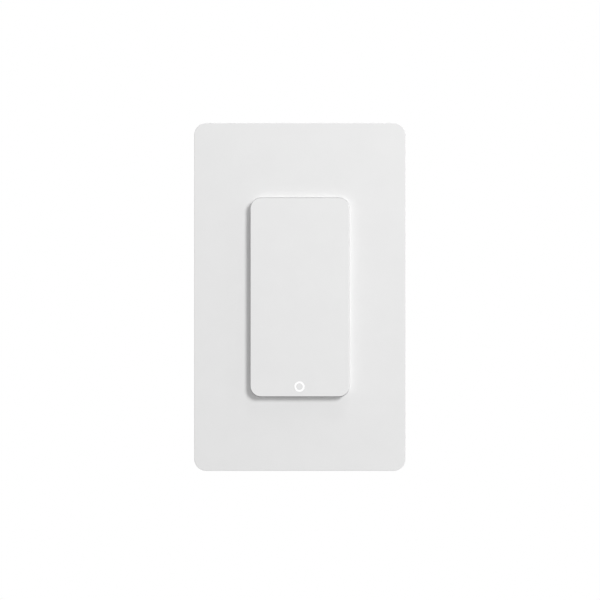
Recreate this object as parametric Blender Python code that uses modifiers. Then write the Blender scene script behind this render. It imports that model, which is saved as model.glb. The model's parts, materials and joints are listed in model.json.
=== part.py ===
import math

import bmesh
import bpy
from mathutils import Matrix, Vector

# A wall switch with a screwless cover plate, a hinged paddle and a lit ring.
# Metres. +Z is up, the front faces -Y, and the wall's surface is the plane y = 0.

# Clearances
GAP = 0.0003            # between pieces that rest on each other
CLOSE_FIT = 0.0001      # round the light ring, which sits in the paddle
CUT_PAST = 0.0100       # how far a cutter runs past what it cuts
CUT_OVERLAP = 0.0010    # the same where it starts in the open

# Cover plate
PLATE_WIDTH = 0.0696
PLATE_END_MARGIN = 0.00873   # from a plate screw to the plate's end
PLATE_DEPTH = 0.0064
PLATE_CORNER = 0.0040
PLATE_FRONT_WALL = 0.0018
PLATE_SIDE_WALL = 0.0016
PLATE_EDGE_ROUND = 0.0008
PLATE_DRAFT = 0.0003
OPENING_CLEARANCE = 0.00015  # round the paddle's skirt
SNAP_TAB_WIDTH = 0.0080
SNAP_TAB_THICKNESS = 0.0009
SNAP_TAB_OVERLAP = 0.0008
SNAP_TAB_HEIGHT = 0.0350   # of the tabs on the long sides
SNAP_TAB_OFFSET = 0.0210   # of the tabs on the short sides

# Paddle
PADDLE_WIDTH = 0.0322
PADDLE_HEIGHT = 0.0650
PADDLE_CORNER = 0.0034
PADDLE_EDGE_ROUND = 0.0005
PADDLE_DRAFT = 0.00025       # the skirt is wider than the face by this on each side
PADDLE_PROUD = 0.0024
PADDLE_WALL = 0.0016
SKIRT_DEPTH = 0.0032
LUG_THICKNESS = 0.0016
LUG_WIDTH = 0.0024
PIN_RADIUS = 0.0010
PIN_REACH = 0.0016      # of each pin into the frame's wall
LUG_SIDE_GAP = 0.0006
PIN_CLEARANCE = 0.0001
HINGE_BELOW_TOP = 0.0070
HINGE_BEHIND_FACE = 0.0044
PRESS_TRAVEL = 0.00055  # at the pusher
PUSHER_ABOVE_EDGE = 0.0125   # these heights are above the paddle's lower edge
PUSHER_RADIUS = 0.0017
HOOK_INSIDE_FRAME = 0.00510
HOOK_ABOVE_EDGE = 0.0080
HOOK_WIDTH = 0.0030
HOOK_THICKNESS = 0.0012
BARB_REACH = 0.0008
BARB_DEPTH = 0.0009
RIBS_BELOW_HINGE = (0.0085, 0.0195, 0.0315)
RIB_WIDTH = 0.0010
RIB_DEPTH = 0.0010

# Lit ring
RING_ABOVE_EDGE = 0.0031
RING_RADIUS = 0.0017
RING_CENTRE_RADIUS = 0.00105
RING_CENTRE_DEPTH = 0.0010
GUIDE_STEM_RADIUS = 0.0014
GUIDE_HEAD_DEPTH = 0.0024
GUIDE_BEHIND_STRAP = 0.0002

# Return springs
SPRING_INSIDE_FRAME = 0.00360
SPRING_ABOVE_EDGE = 0.0175
SPRING_RADIUS = 0.0019
SPRING_WIRE = 0.00022
SPRING_TURNS = 4
SPRING_POST_LENGTH = 0.0012
SPRING_END_TURNS = 0.4   # laid flat at each end
SPRING_STUD_LENGTH = 0.0007

# Front frame that carries the paddle
FRAME_FLOOR = 0.0014
FRAME_WALL = 0.0012
COLLAR_GAP = 0.0007
COLLAR_INTO_SKIRT = 0.0008
FLANGE_INSET = 0.00015
PUSHER_HOLE_CLEARANCE = 0.0005
FRAME_BOSS_RADIUS = 0.0024
FRAME_BOSS_CAP = 0.0008
FRAME_BOSS_STEP = 0.0002

# Strap, the steel plate that is screwed to the wall box
STRAP_THICKNESS = 0.0012
STRAP_PAST_HOUSING = 0.0010  # at each side
STRAP_PAST_ENDS = 0.0020     # above and below the housing
EAR_WIDTH = 0.0270
EAR_END_MARGIN = 0.00478     # from a plate screw to the strap's end
EAR_TAB_REACH = 0.0035
EAR_TAB_WIDTH = 0.0050
STRAP_CORNER = 0.0015
BOX_SCREW_OUTSIDE = 0.00917    # from the paddle's end, which makes the pitch 83.34 mm
PLATE_SCREW_OUTSIDE = 0.00675  # from the box screw, which makes the pitch 96.84 mm
SLOT_LENGTH = 0.0066
SLOT_WIDTH = 0.0040
WINDOW_WIDTH = 0.0240
WINDOW_INSIDE_PADDLE = 0.0060  # at the paddle's upper and lower edge
GROUND_TAB_HEIGHT = 0.0080
GROUND_TAB_REACH = 0.0090
GROUND_TAB_CENTRE = -0.0260
GROUND_SCREW_DEPTH = 0.0047
NOTCH_MARGIN = 0.0012

# Mounting plate that the cover plate snaps onto
MOUNT_SIDE_GAP = 0.0016
MOUNT_THICKNESS = 0.0018
MOUNT_LIP = 0.0015
MOUNT_WINDOW_GAP = 0.0008
MOUNT_CORNER = 0.0030
MOUNT_BOSS_STEP = 0.0002
ACCESS_CLEARANCE = 0.0010    # round the heads of the box screws

# Screws
MOUNT_SCREW_RADIUS = 0.0017
MOUNT_SCREW_HEAD = 0.0033
MOUNT_SCREW_HEAD_DEPTH = 0.0018
MOUNT_SCREW_LENGTH = 0.0250
PLATE_SCREW_RADIUS = 0.0016
PLATE_SCREW_HEAD = 0.0034
PLATE_SCREW_HEAD_DEPTH = 0.0015
PLATE_SCREW_LENGTH = 0.0065
HOUSING_SCREW_RADIUS = 0.0011
HOUSING_SCREW_HEAD = 0.0019
HOUSING_SCREW_HEAD_DEPTH = 0.0014
HOUSING_SCREW_IN = 0.00290     # from the paddle's side
HOUSING_SCREW_DOWN = 0.0032    # from the housing's end
TERMINAL_SCREW_RADIUS = 0.0017
TERMINAL_SCREW_HEAD = 0.0038
TERMINAL_SCREW_HEAD_DEPTH = 0.0020
DRIVER_SLOT_WIDTH = 0.0008
SHANK_CLEARANCE = 0.0002
RETAINER_SIDE = 0.0080
RETAINER_THICKNESS = 0.0008
RETAINER_CORNER = 0.0010

# Rear housing
HOUSING_WIDTH = 0.0420
HOUSING_PAST_PADDLE = 0.0005   # at each end
HOUSING_DEPTH = 0.0292
HOUSING_WALL = 0.0018
HOUSING_CORNER = 0.0025
HOUSING_REAR_ROUND = 0.0012
COLUMN_RADIUS = 0.0028
COLUMN_SEAT = 0.0090     # how far behind the wall plane the screw heads sit
LEDGE_THICKNESS = 0.0012
LEDGE_REACH = 0.0012
LEDGE_HEIGHT = 0.0230
POCKET_CENTRE = 0.0130   # height of the terminal pockets above and below the middle
POCKET_HEIGHT = 0.0100
POCKET_INWARD = 0.0066
POCKET_FRONT = 0.0090
POCKET_REAR_WALL = 0.0040
POCKET_WALL = 0.0014
WIRE_HOLE_RADIUS = 0.0014
TERMINAL_THICKNESS = 0.0010
TERMINAL_MARGIN = 0.0006
CLAMP_THICKNESS = 0.0012
CLAMP_SIDE = 0.0078
WIRE_SPACE = 0.0018

# Circuit boards and what they carry
BOARD_THICKNESS = 0.0012
BOARD_MARGIN = 0.0005
BOARD_CORNER = 0.0010
CONTROL_BOARD_FRONT = 0.0022
POWER_BOARD_FRONT = 0.0235
POWER_BOARD_SIDE_GAP = 0.0006
POWER_BOARD_END_GAP = 0.0052
COMPONENT_GAP = 0.0006
SHEET_THICKNESS = 0.0003
SWITCH_SIDE = 0.0060
SWITCH_HEIGHT = 0.0031
PLUNGER_RADIUS = 0.0017
PLUNGER_TRAVEL = 0.0003
PLUNGER_STANDOFF = 0.0008   # of its tip in front of the frame's rear face
PLUNGER_SKIRT = 0.0013      # of it inside the case
MODULE_WIDTH = 0.0150
MODULE_HEIGHT = 0.0190
MODULE_CENTRE = 0.0090
MODULE_THICKNESS = 0.0008
SHIELD_THICKNESS = 0.0013
SHIELD_HEIGHT = 0.0135
SWITCH_FOOT_WIDTH = 0.0008
SWITCH_FOOT_REACH = 0.0009
SWITCH_FOOT_DEPTH = 0.0004
MODULE_CONTACT = 0.0004
MODULE_CONTACTS = 9
MODULE_PITCH = 0.0016
LED_WIDTH = 0.0020
LED_HEIGHT = 0.0006
RELAY_WIDTH = 0.0155
RELAY_LENGTH = 0.0190
RELAY_HEIGHT = 0.0153
RELAY_MARGIN = 0.0010        # below the power board's upper edge
CAPACITOR_RADIUS = 0.0040
CAPACITOR_HEIGHT = 0.0120
CAPACITOR_PITCH = 0.0095
FILM_WIDTH = 0.0130
FILM_THICKNESS = 0.0050
FILM_HEIGHT = 0.0110
BRIDGE_WIDTH = 0.0047
BRIDGE_LENGTH = 0.0040
BRIDGE_HEIGHT = 0.0025
FUSE_RADIUS = 0.0016
FUSE_LENGTH = 0.0090
VARISTOR_RADIUS = 0.0035
VARISTOR_THICKNESS = 0.0030
CORE_WIDTH = 0.0140
CORE_DEPTH = 0.0130
CORE_THICKNESS = 0.0050
CORE_LEG = 0.0044
CORE_YOKE = 0.0018
COIL_BUILD = 0.0024
HEADER_WIDTH = 0.0130
HEADER_THICKNESS = 0.0025
HEADER_SOCKET = 0.0085
HEADER_PIN = 0.0007
HEADER_PINS = 5
HEADER_PITCH = 0.0025
HEADER_MARGIN = 0.0010       # above the power board's lower edge
STANDOFF_RADIUS = 0.0022
STANDOFF_X = 0.0090
STANDOFF_MARGIN = 0.0040     # from the power board's ends

# Facets
ROUND_STEPS = 16         # sides of a small turned piece
RING_STEPS = 32
WELD = 0.000002          # vertices closer than this are one
CORNER_STEPS = 4

# Sizes and places worked out from those above
skirt_width = PADDLE_WIDTH + 2 * PADDLE_DRAFT
skirt_height = PADDLE_HEIGHT + 2 * PADDLE_DRAFT
opening_width = skirt_width + 2 * OPENING_CLEARANCE
opening_height = skirt_height + 2 * OPENING_CLEARANCE
opening_corner = PADDLE_CORNER + PADDLE_DRAFT + OPENING_CLEARANCE
box_screw_z = PADDLE_HEIGHT / 2 + BOX_SCREW_OUTSIDE
plate_screw_z = box_screw_z + PLATE_SCREW_OUTSIDE
plate_height = 2 * (plate_screw_z + PLATE_END_MARGIN)
ear_span = 2 * (plate_screw_z + EAR_END_MARGIN)
plate_front = -PLATE_DEPTH
paddle_face = plate_front - PADDLE_PROUD
paddle_under = paddle_face + PADDLE_WALL
skirt_rear = paddle_face + SKIRT_DEPTH
hinge_y = paddle_face + HINGE_BEHIND_FACE
hinge_height = PADDLE_HEIGHT / 2 - HINGE_BELOW_TOP
pusher_height = PUSHER_ABOVE_EDGE - PADDLE_HEIGHT / 2
hook_height = HOOK_ABOVE_EDGE - PADDLE_HEIGHT / 2
spring_height = SPRING_ABOVE_EDGE - PADDLE_HEIGHT / 2
strap_front = -STRAP_THICKNESS
floor_rear = strap_front - GAP
floor_front = floor_rear - FRAME_FLOOR
collar_front = skirt_rear - COLLAR_INTO_SKIRT
press_angle = PRESS_TRAVEL / (hinge_height - pusher_height)
bottom_swing = press_angle * (hinge_height + PADDLE_HEIGHT / 2)
flange_front = skirt_rear + bottom_swing + GAP
flange_width = PADDLE_WIDTH - 2 * FLANGE_INSET
flange_height = PADDLE_HEIGHT - 2 * FLANGE_INSET
mount_rear = strap_front - GAP
ring_height = RING_ABOVE_EDGE - PADDLE_HEIGHT / 2
collar_width = PADDLE_WIDTH - 2 * (PADDLE_WALL + COLLAR_GAP)
collar_height = PADDLE_HEIGHT - 2 * (PADDLE_WALL + COLLAR_GAP)
frame_inner_width = collar_width - 2 * FRAME_WALL
frame_inner_height = collar_height - 2 * FRAME_WALL
hook_offset = frame_inner_width / 2 - HOOK_INSIDE_FRAME
spring_offset = frame_inner_width / 2 - SPRING_INSIDE_FRAME
housing_height = PADDLE_HEIGHT + 2 * HOUSING_PAST_PADDLE
housing_screw_x = PADDLE_WIDTH / 2 - HOUSING_SCREW_IN
housing_screw_z = housing_height / 2 - HOUSING_SCREW_DOWN
strap_width = HOUSING_WIDTH + 2 * STRAP_PAST_HOUSING
strap_height = housing_height + 2 * STRAP_PAST_ENDS
window_height = PADDLE_HEIGHT - 2 * WINDOW_INSIDE_PADDLE
housing_front = GAP
housing_rear = HOUSING_DEPTH + GAP
housing_inner_width = HOUSING_WIDTH - 2 * HOUSING_WALL
housing_inner_height = housing_height - 2 * HOUSING_WALL
housing_inner_rear = housing_rear - HOUSING_WALL
board_width = housing_inner_width - 2 * BOARD_MARGIN
board_height = housing_inner_height - 2 * BOARD_MARGIN
sheet_rear = GAP + SHEET_THICKNESS
control_board_rear = CONTROL_BOARD_FRONT + BOARD_THICKNESS
power_board_rear = POWER_BOARD_FRONT + BOARD_THICKNESS
pocket_floor = HOUSING_WIDTH / 2 - POCKET_INWARD
pocket_rear = housing_rear - POCKET_REAR_WALL
power_board_width = 2 * (pocket_floor - POCKET_WALL - POWER_BOARD_SIDE_GAP)
power_board_height = housing_inner_height - 2 * POWER_BOARD_END_GAP
standoff_z = power_board_height / 2 - STANDOFF_MARGIN
relay_centre = power_board_height / 2 - RELAY_MARGIN - RELAY_LENGTH / 2
relay_low = relay_centre - RELAY_LENGTH / 2
film_centre = relay_low - COMPONENT_GAP - FILM_THICKNESS / 2
core_centre = (film_centre - FILM_THICKNESS / 2 - COMPONENT_GAP - COIL_BUILD - GAP
               - CORE_THICKNESS / 2)
bridge_centre = relay_low - COMPONENT_GAP - BRIDGE_LENGTH / 2
fuse_low = bridge_centre - BRIDGE_LENGTH / 2 - COMPONENT_GAP - FUSE_LENGTH
header_centre = HEADER_MARGIN + HEADER_THICKNESS / 2 - power_board_height / 2
wire_x = pocket_floor + GAP + TERMINAL_THICKNESS + WIRE_SPACE / 2
wire_offset = TERMINAL_SCREW_RADIUS + SHANK_CLEARANCE + WIRE_HOLE_RADIUS
housing_screw_tip = flange_front + FRAME_BOSS_CAP
ear_tab_height = ear_span / 2 - EAR_TAB_WIDTH / 2
notch_half = GUIDE_STEM_RADIUS + NOTCH_MARGIN
spring_post_radius = SPRING_RADIUS - SPRING_WIRE - GAP
hook_low = hook_height - HOOK_THICKNESS / 2
hook_high = hook_height + HOOK_THICKNESS / 2
hook_slot_low = hook_low - GAP
hook_slot_high = hook_high + BARB_REACH + GAP
barb_front = floor_rear + GAP
barb_rear = barb_front + BARB_DEPTH
pin_lug_outer = frame_inner_width / 2 - LUG_SIDE_GAP
bore_depth = PIN_REACH + GAP
plunger_tip = floor_rear - PLUNGER_STANDOFF
pusher_tip = plunger_tip - GAP
ring_bore = RING_RADIUS + CLOSE_FIT
module_bottom = MODULE_CENTRE - MODULE_HEIGHT / 2
guide_stem_rear = strap_front + STRAP_THICKNESS + GUIDE_BEHIND_STRAP

# Colours, linear, with roughness and metallic
FINISHES = {
    "white_plastic": ((0.80, 0.80, 0.80), 0.45, 0.0),
    "inner_plastic": ((0.62, 0.62, 0.60), 0.50, 0.0),
    "dark_plastic": ((0.030, 0.031, 0.034), 0.50, 0.0),
    "clear_plastic": ((0.90, 0.92, 0.95), 0.20, 0.0),
    "steel": ((0.55, 0.55, 0.54), 0.35, 1.0),
    "brass": ((0.62, 0.45, 0.18), 0.35, 1.0),
    "green_steel": ((0.05, 0.28, 0.10), 0.40, 0.8),
    "board_green": ((0.02, 0.13, 0.05), 0.45, 0.0),
    "relay_blue": ((0.03, 0.12, 0.35), 0.40, 0.0),
    "ferrite": ((0.045, 0.043, 0.042), 0.60, 0.0),
    "yellow_tape": ((0.70, 0.48, 0.05), 0.45, 0.0),
    "capacitor_sleeve": ((0.02, 0.02, 0.03), 0.35, 0.0),
    "film_grey": ((0.35, 0.36, 0.36), 0.50, 0.0),
    "ceramic": ((0.75, 0.70, 0.60), 0.35, 0.0),
    "fibre": ((0.30, 0.12, 0.05), 0.70, 0.0),
}


def start_file():
    for old in list(bpy.data.objects):
        bpy.data.objects.remove(old)
    parts = bpy.data.collections.new("wall_switch")
    cutters = bpy.data.collections.new("cutters")
    for group in (parts, cutters):
        bpy.context.scene.collection.children.link(group)
    return parts, cutters


PARTS, CUTTERS = start_file()


def finish_material(key):
    material = bpy.data.materials.get(key)
    if material is None:
        colour, roughness, metallic = FINISHES[key]
        material = bpy.data.materials.new(key)
        material.use_nodes = True
        shader = material.node_tree.nodes["Principled BSDF"]
        shader.inputs["Base Color"].default_value = (*colour, 1.0)
        shader.inputs["Roughness"].default_value = roughness
        shader.inputs["Metallic"].default_value = metallic
    return material


def add_mesh_object(name, bm, group=None):
    """A new object from a bmesh, with its faces turned outwards."""
    bmesh.ops.recalc_face_normals(bm, faces=bm.faces)
    mesh = bpy.data.meshes.new(name)
    bm.to_mesh(mesh)
    bm.free()
    piece = bpy.data.objects.new(name, mesh)
    (group or CUTTERS).objects.link(piece)
    if piece.name in CUTTERS.objects:
        piece.hide_render = True
        piece.display_type = "WIRE"
    return piece


def block(name, low, high, corner=0.0, front_round=0.0, rear_round=0.0, draft=0.0,
          corner_steps=CORNER_STEPS, edge_steps=2):
    """A box between two corners; the edges along Y may be rounded, and the front
    or rear rim too. With a draft, the front is smaller than the rear on each side."""
    low, high = Vector(low), Vector(high)
    size = high - low
    middle = (low + high) / 2
    bm = bmesh.new()
    bmesh.ops.create_cube(bm, size=1.0)
    for vertex in bm.verts:
        vertex.co = Vector(a * b for a, b in zip(vertex.co, size))
        if draft and vertex.co.y < 0:
            vertex.co.x -= math.copysign(draft, vertex.co.x)
            vertex.co.z -= math.copysign(draft, vertex.co.z)
        vertex.co += middle
    if corner:
        along = [e for e in bm.edges if abs(e.verts[0].co.y - e.verts[1].co.y) > size.y / 2]
        bmesh.ops.bevel(bm, geom=along, offset=corner, offset_type="OFFSET",
                        segments=corner_steps, profile=0.5, affect="EDGES")
    for radius, level in ((front_round, low.y), (rear_round, high.y)):
        if radius:
            rim = [e for e in bm.edges if all(abs(v.co.y - level) < 1e-7 for v in e.verts)]
            bmesh.ops.bevel(bm, geom=rim, offset=radius, offset_type="OFFSET",
                            segments=edge_steps, profile=0.5, affect="EDGES")
    return add_mesh_object(name, bm)


def centred_block(name, width, height, front, rear, centre=(0.0, 0.0), **rounding):
    """A block given by its width along X, its height along Z and its two depths."""
    x, z = centre
    return block(name, (x - width / 2, front, z - height / 2),
                 (x + width / 2, rear, z + height / 2), **rounding)


def turned(name, profile, place=(0.0, 0.0, 0.0), towards="rear", steps=ROUND_STEPS):
    """A turned piece from (radius, distance) points, listed from its start to its end.
    Its axis runs from place towards the rear (+Y), the front, +X, -X or +Z."""
    mesh = bpy.data.meshes.new(name)
    points = [(radius, 0.0, -distance) for radius, distance in profile]
    mesh.from_pydata(points, [(i, i + 1) for i in range(len(points) - 1)], [])
    rough = bpy.data.objects.new(name + "_profile", mesh)
    CUTTERS.objects.link(rough)
    screw = rough.modifiers.new("turn", "SCREW")
    screw.steps = steps
    screw.render_steps = steps
    screw.use_merge_vertices = True
    screw.merge_threshold = 0.00001
    screw.use_smooth_shade = False
    turn = {"rear": Matrix.Rotation(math.pi / 2, 4, "X"),
            "front": Matrix.Rotation(-math.pi / 2, 4, "X"),
            "right": Matrix.Rotation(-math.pi / 2, 4, "Y"),
            "left": Matrix.Rotation(math.pi / 2, 4, "Y"),
            "up": Matrix.Rotation(math.pi, 4, "X")}[towards]
    rough.matrix_world = Matrix.Translation(place) @ turn
    return baked(rough, name)


def baked(source, name):
    """The evaluated object as a plain mesh in world space; the source is removed."""
    bpy.context.view_layer.update()
    seen = source.evaluated_get(bpy.context.evaluated_depsgraph_get())
    mesh = bpy.data.meshes.new_from_object(seen)
    mesh.transform(source.matrix_world)
    bpy.data.objects.remove(source)
    bm = bmesh.new()
    bm.from_mesh(mesh)
    bpy.data.meshes.remove(mesh)
    bmesh.ops.remove_doubles(bm, verts=bm.verts, dist=WELD)
    return add_mesh_object(name, bm)


def cylinder(name, radius, start, length, towards="rear", steps=ROUND_STEPS):
    return turned(name, [(0.0, 0.0), (radius, 0.0), (radius, length), (0.0, length)],
                  start, towards, steps)


def combine(piece, tools, operation):
    """Joins or cuts a piece with others one by one, and removes those."""
    for tool in tools:
        step = piece.modifiers.new(operation.lower(), "BOOLEAN")
        step.object = tool
        step.operation = operation
        bpy.context.view_layer.update()
        seen = piece.evaluated_get(bpy.context.evaluated_depsgraph_get())
        mesh = bpy.data.meshes.new_from_object(seen)
        piece.modifiers.clear()
        bm = bmesh.new()
        bm.from_mesh(mesh)
        bmesh.ops.remove_doubles(bm, verts=bm.verts, dist=WELD)
        bmesh.ops.dissolve_degenerate(bm, edges=bm.edges, dist=WELD)
        bm.to_mesh(mesh)
        bm.free()
        piece.data = mesh
        bpy.data.objects.remove(tool)
    return piece


def join(piece, *tools):
    return combine(piece, tools, "UNION")


def cut(piece, *tools):
    return combine(piece, tools, "DIFFERENCE")


def part(piece, name, finish, origin=(0.0, 0.0, 0.0), carrier=None):
    """Names a finished piece, gives it its material and its origin, and files it."""
    piece.name = name
    piece.data.name = name
    piece.data.transform(Matrix.Translation(-Vector(origin)))
    piece.location = origin
    piece.data.materials.clear()
    piece.data.materials.append(finish_material(finish))
    piece.data.shade_smooth()
    piece.data.set_sharp_from_angle(angle=math.radians(35))
    piece.hide_render = False
    piece.display_type = "TEXTURED"
    CUTTERS.objects.unlink(piece)
    PARTS.objects.link(piece)
    if carrier:
        piece.parent = carrier
        piece.location = Vector(origin) - carrier.location
    return piece


def pairs(x, z):
    return [(x, z), (-x, z), (x, -z), (-x, -z)]


# The cover plate and the mounting plate behind it

def make_cover_plate():
    inner_width = PLATE_WIDTH - 2 * PLATE_SIDE_WALL
    inner_height = plate_height - 2 * PLATE_SIDE_WALL
    inner_front = plate_front + PLATE_FRONT_WALL
    shell = centred_block("cover", PLATE_WIDTH, plate_height, plate_front, 0.0,
                          corner=PLATE_CORNER, front_round=PLATE_EDGE_ROUND,
                          draft=PLATE_DRAFT, corner_steps=6, edge_steps=3)
    cavity = centred_block("cavity", inner_width, inner_height, inner_front, GAP,
                           corner=PLATE_CORNER - PLATE_SIDE_WALL, draft=PLATE_DRAFT)
    opening = centred_block("opening", opening_width, opening_height,
                            2 * plate_front, 0.0, corner=opening_corner, corner_steps=6)
    cut(shell, cavity, opening)
    # snap tabs that reach behind the mounting plate's edge
    tab_front = mount_rear + GAP
    tab_rear = tab_front + SNAP_TAB_THICKNESS
    reach = MOUNT_SIDE_GAP + SNAP_TAB_OVERLAP
    into_wall = PLATE_SIDE_WALL / 2
    tabs = []
    for side in (1, -1):
        edge = inner_width / 2
        for z in (SNAP_TAB_HEIGHT, -SNAP_TAB_HEIGHT):
            tabs.append(block("tab", (side * edge - (reach if side > 0 else into_wall),
                                      tab_front, z - SNAP_TAB_WIDTH / 2),
                              (side * edge + (into_wall if side > 0 else reach),
                               tab_rear, z + SNAP_TAB_WIDTH / 2)))
        edge = inner_height / 2
        for x in (SNAP_TAB_OFFSET, -SNAP_TAB_OFFSET):
            tabs.append(block("tab", (x - SNAP_TAB_WIDTH / 2, tab_front,
                                      side * edge - (reach if side > 0 else into_wall)),
                              (x + SNAP_TAB_WIDTH / 2, tab_rear,
                               side * edge + (into_wall if side > 0 else reach))))
    join(shell, *tabs)
    part(shell, "cover_plate", "white_plastic")


def make_mounting_plate():
    width = PLATE_WIDTH - 2 * (PLATE_SIDE_WALL + MOUNT_SIDE_GAP)
    height = plate_height - 2 * (PLATE_SIDE_WALL + MOUNT_SIDE_GAP)
    lip_front = plate_front + PLATE_FRONT_WALL + GAP
    floor = mount_rear - MOUNT_THICKNESS
    plate = centred_block("plate", width, height, lip_front, mount_rear, corner=MOUNT_CORNER)
    tray = centred_block("tray", width - 2 * MOUNT_LIP, height - 2 * MOUNT_LIP,
                         2 * plate_front, floor, corner=MOUNT_CORNER - MOUNT_LIP)
    cut(plate, tray)
    boss_front = lip_front + MOUNT_BOSS_STEP
    bosses = [cylinder("boss", PLATE_SCREW_HEAD + MOUNT_LIP, (0.0, boss_front, z),
                       floor + MOUNT_THICKNESS / 2 - boss_front)
              for z in (plate_screw_z, -plate_screw_z)]
    join(plate, *bosses)
    window = centred_block("window", flange_width + 2 * MOUNT_WINDOW_GAP,
                           flange_height + 2 * MOUNT_WINDOW_GAP, 2 * plate_front, GAP,
                           corner=PADDLE_CORNER)
    holes = []
    for side in (1, -1):
        sink = PLATE_SCREW_HEAD + SHANK_CLEARANCE
        shank = PLATE_SCREW_RADIUS + SHANK_CLEARANCE
        neck = lip_front + PLATE_SCREW_HEAD_DEPTH
        holes.append(turned("hole", [(0.0, 2 * plate_front), (sink, 2 * plate_front),
                                     (sink, lip_front), (shank, neck),
                                     (shank, GAP), (0.0, GAP)],
                            (0.0, 0.0, side * plate_screw_z)))
        holes.append(cylinder("access", MOUNT_SCREW_HEAD + ACCESS_CLEARANCE,
                              (0.0, 2 * plate_front, side * box_screw_z),
                              -3 * plate_front))
    cut(plate, window, *holes)
    part(plate, "mounting_plate", "inner_plastic")


# Screws

def slotted_screw(name, finish, shank, length, head, head_depth, place, towards,
                  countersunk=False, clock=0.0):
    """A screw whose seat under the head is at place; the slot is turned by clock."""
    chamfer = head_depth * 0.3
    if countersunk:
        profile = [(0.0, -head_depth - chamfer / 2), (head - chamfer, -head_depth - chamfer / 2),
                   (head, -head_depth), (shank, 0.0)]
    else:
        profile = [(0.0, -head_depth), (head - chamfer, -head_depth),
                   (head, chamfer - head_depth), (head, 0.0), (shank, 0.0)]
    tip = shank * 0.4
    profile += [(shank, length - tip), (shank - tip, length), (0.0, length)]
    screw = turned("screw", profile, place, towards)
    top = -head_depth - (chamfer / 2 if countersunk else 0.0)
    slot = block("slot", (-head * 1.2, -DRIVER_SLOT_WIDTH / 2, top - CUT_OVERLAP),
                 (head * 1.2, DRIVER_SLOT_WIDTH / 2, top + head_depth * 0.5))
    aim = {"rear": Matrix.Rotation(-math.pi / 2, 4, "X"),
           "front": Matrix.Rotation(math.pi / 2, 4, "X"),
           "right": Matrix.Rotation(math.pi / 2, 4, "Y"),
           "left": Matrix.Rotation(-math.pi / 2, 4, "Y")}[towards]
    slot.data.transform(Matrix.Translation(place) @ aim @ Matrix.Rotation(clock, 4, "Z"))
    cut(screw, slot)
    part(screw, name, finish, place)


def make_screws():
    for side, word in ((1, "upper"), (-1, "lower")):
        seat = strap_front - GAP
        slotted_screw(f"mounting_screw_{word}", "steel", MOUNT_SCREW_RADIUS,
                      MOUNT_SCREW_LENGTH, MOUNT_SCREW_HEAD, MOUNT_SCREW_HEAD_DEPTH,
                      (0.0, seat, side * box_screw_z), "rear")
        neck = plate_front + PLATE_FRONT_WALL + GAP + PLATE_SCREW_HEAD_DEPTH
        slotted_screw(f"plate_screw_{word}", "steel", PLATE_SCREW_RADIUS,
                      PLATE_SCREW_LENGTH, PLATE_SCREW_HEAD, PLATE_SCREW_HEAD_DEPTH,
                      (0.0, neck, side * plate_screw_z), "rear", countersunk=True)
        washer = centred_block("washer", RETAINER_SIDE, RETAINER_SIDE, GAP,
                               GAP + RETAINER_THICKNESS,
                               centre=(0.0, side * box_screw_z), corner=RETAINER_CORNER)
        cut(washer, cylinder("bore", MOUNT_SCREW_RADIUS + SHANK_CLEARANCE,
                             (0.0, -CUT_OVERLAP, side * box_screw_z), CUT_PAST))
        part(washer, f"screw_retainer_{word}", "fibre")
    for x, z in pairs(housing_screw_x, housing_screw_z):
        name = f"housing_screw_{'upper' if z > 0 else 'lower'}_{'right' if x > 0 else 'left'}"
        slotted_screw(name, "steel", HOUSING_SCREW_RADIUS, COLUMN_SEAT - housing_screw_tip,
                      HOUSING_SCREW_HEAD, HOUSING_SCREW_HEAD_DEPTH,
                      (x, COLUMN_SEAT + GAP, z), "front", clock=math.pi / 4)


# The strap and its ground screw

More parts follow.
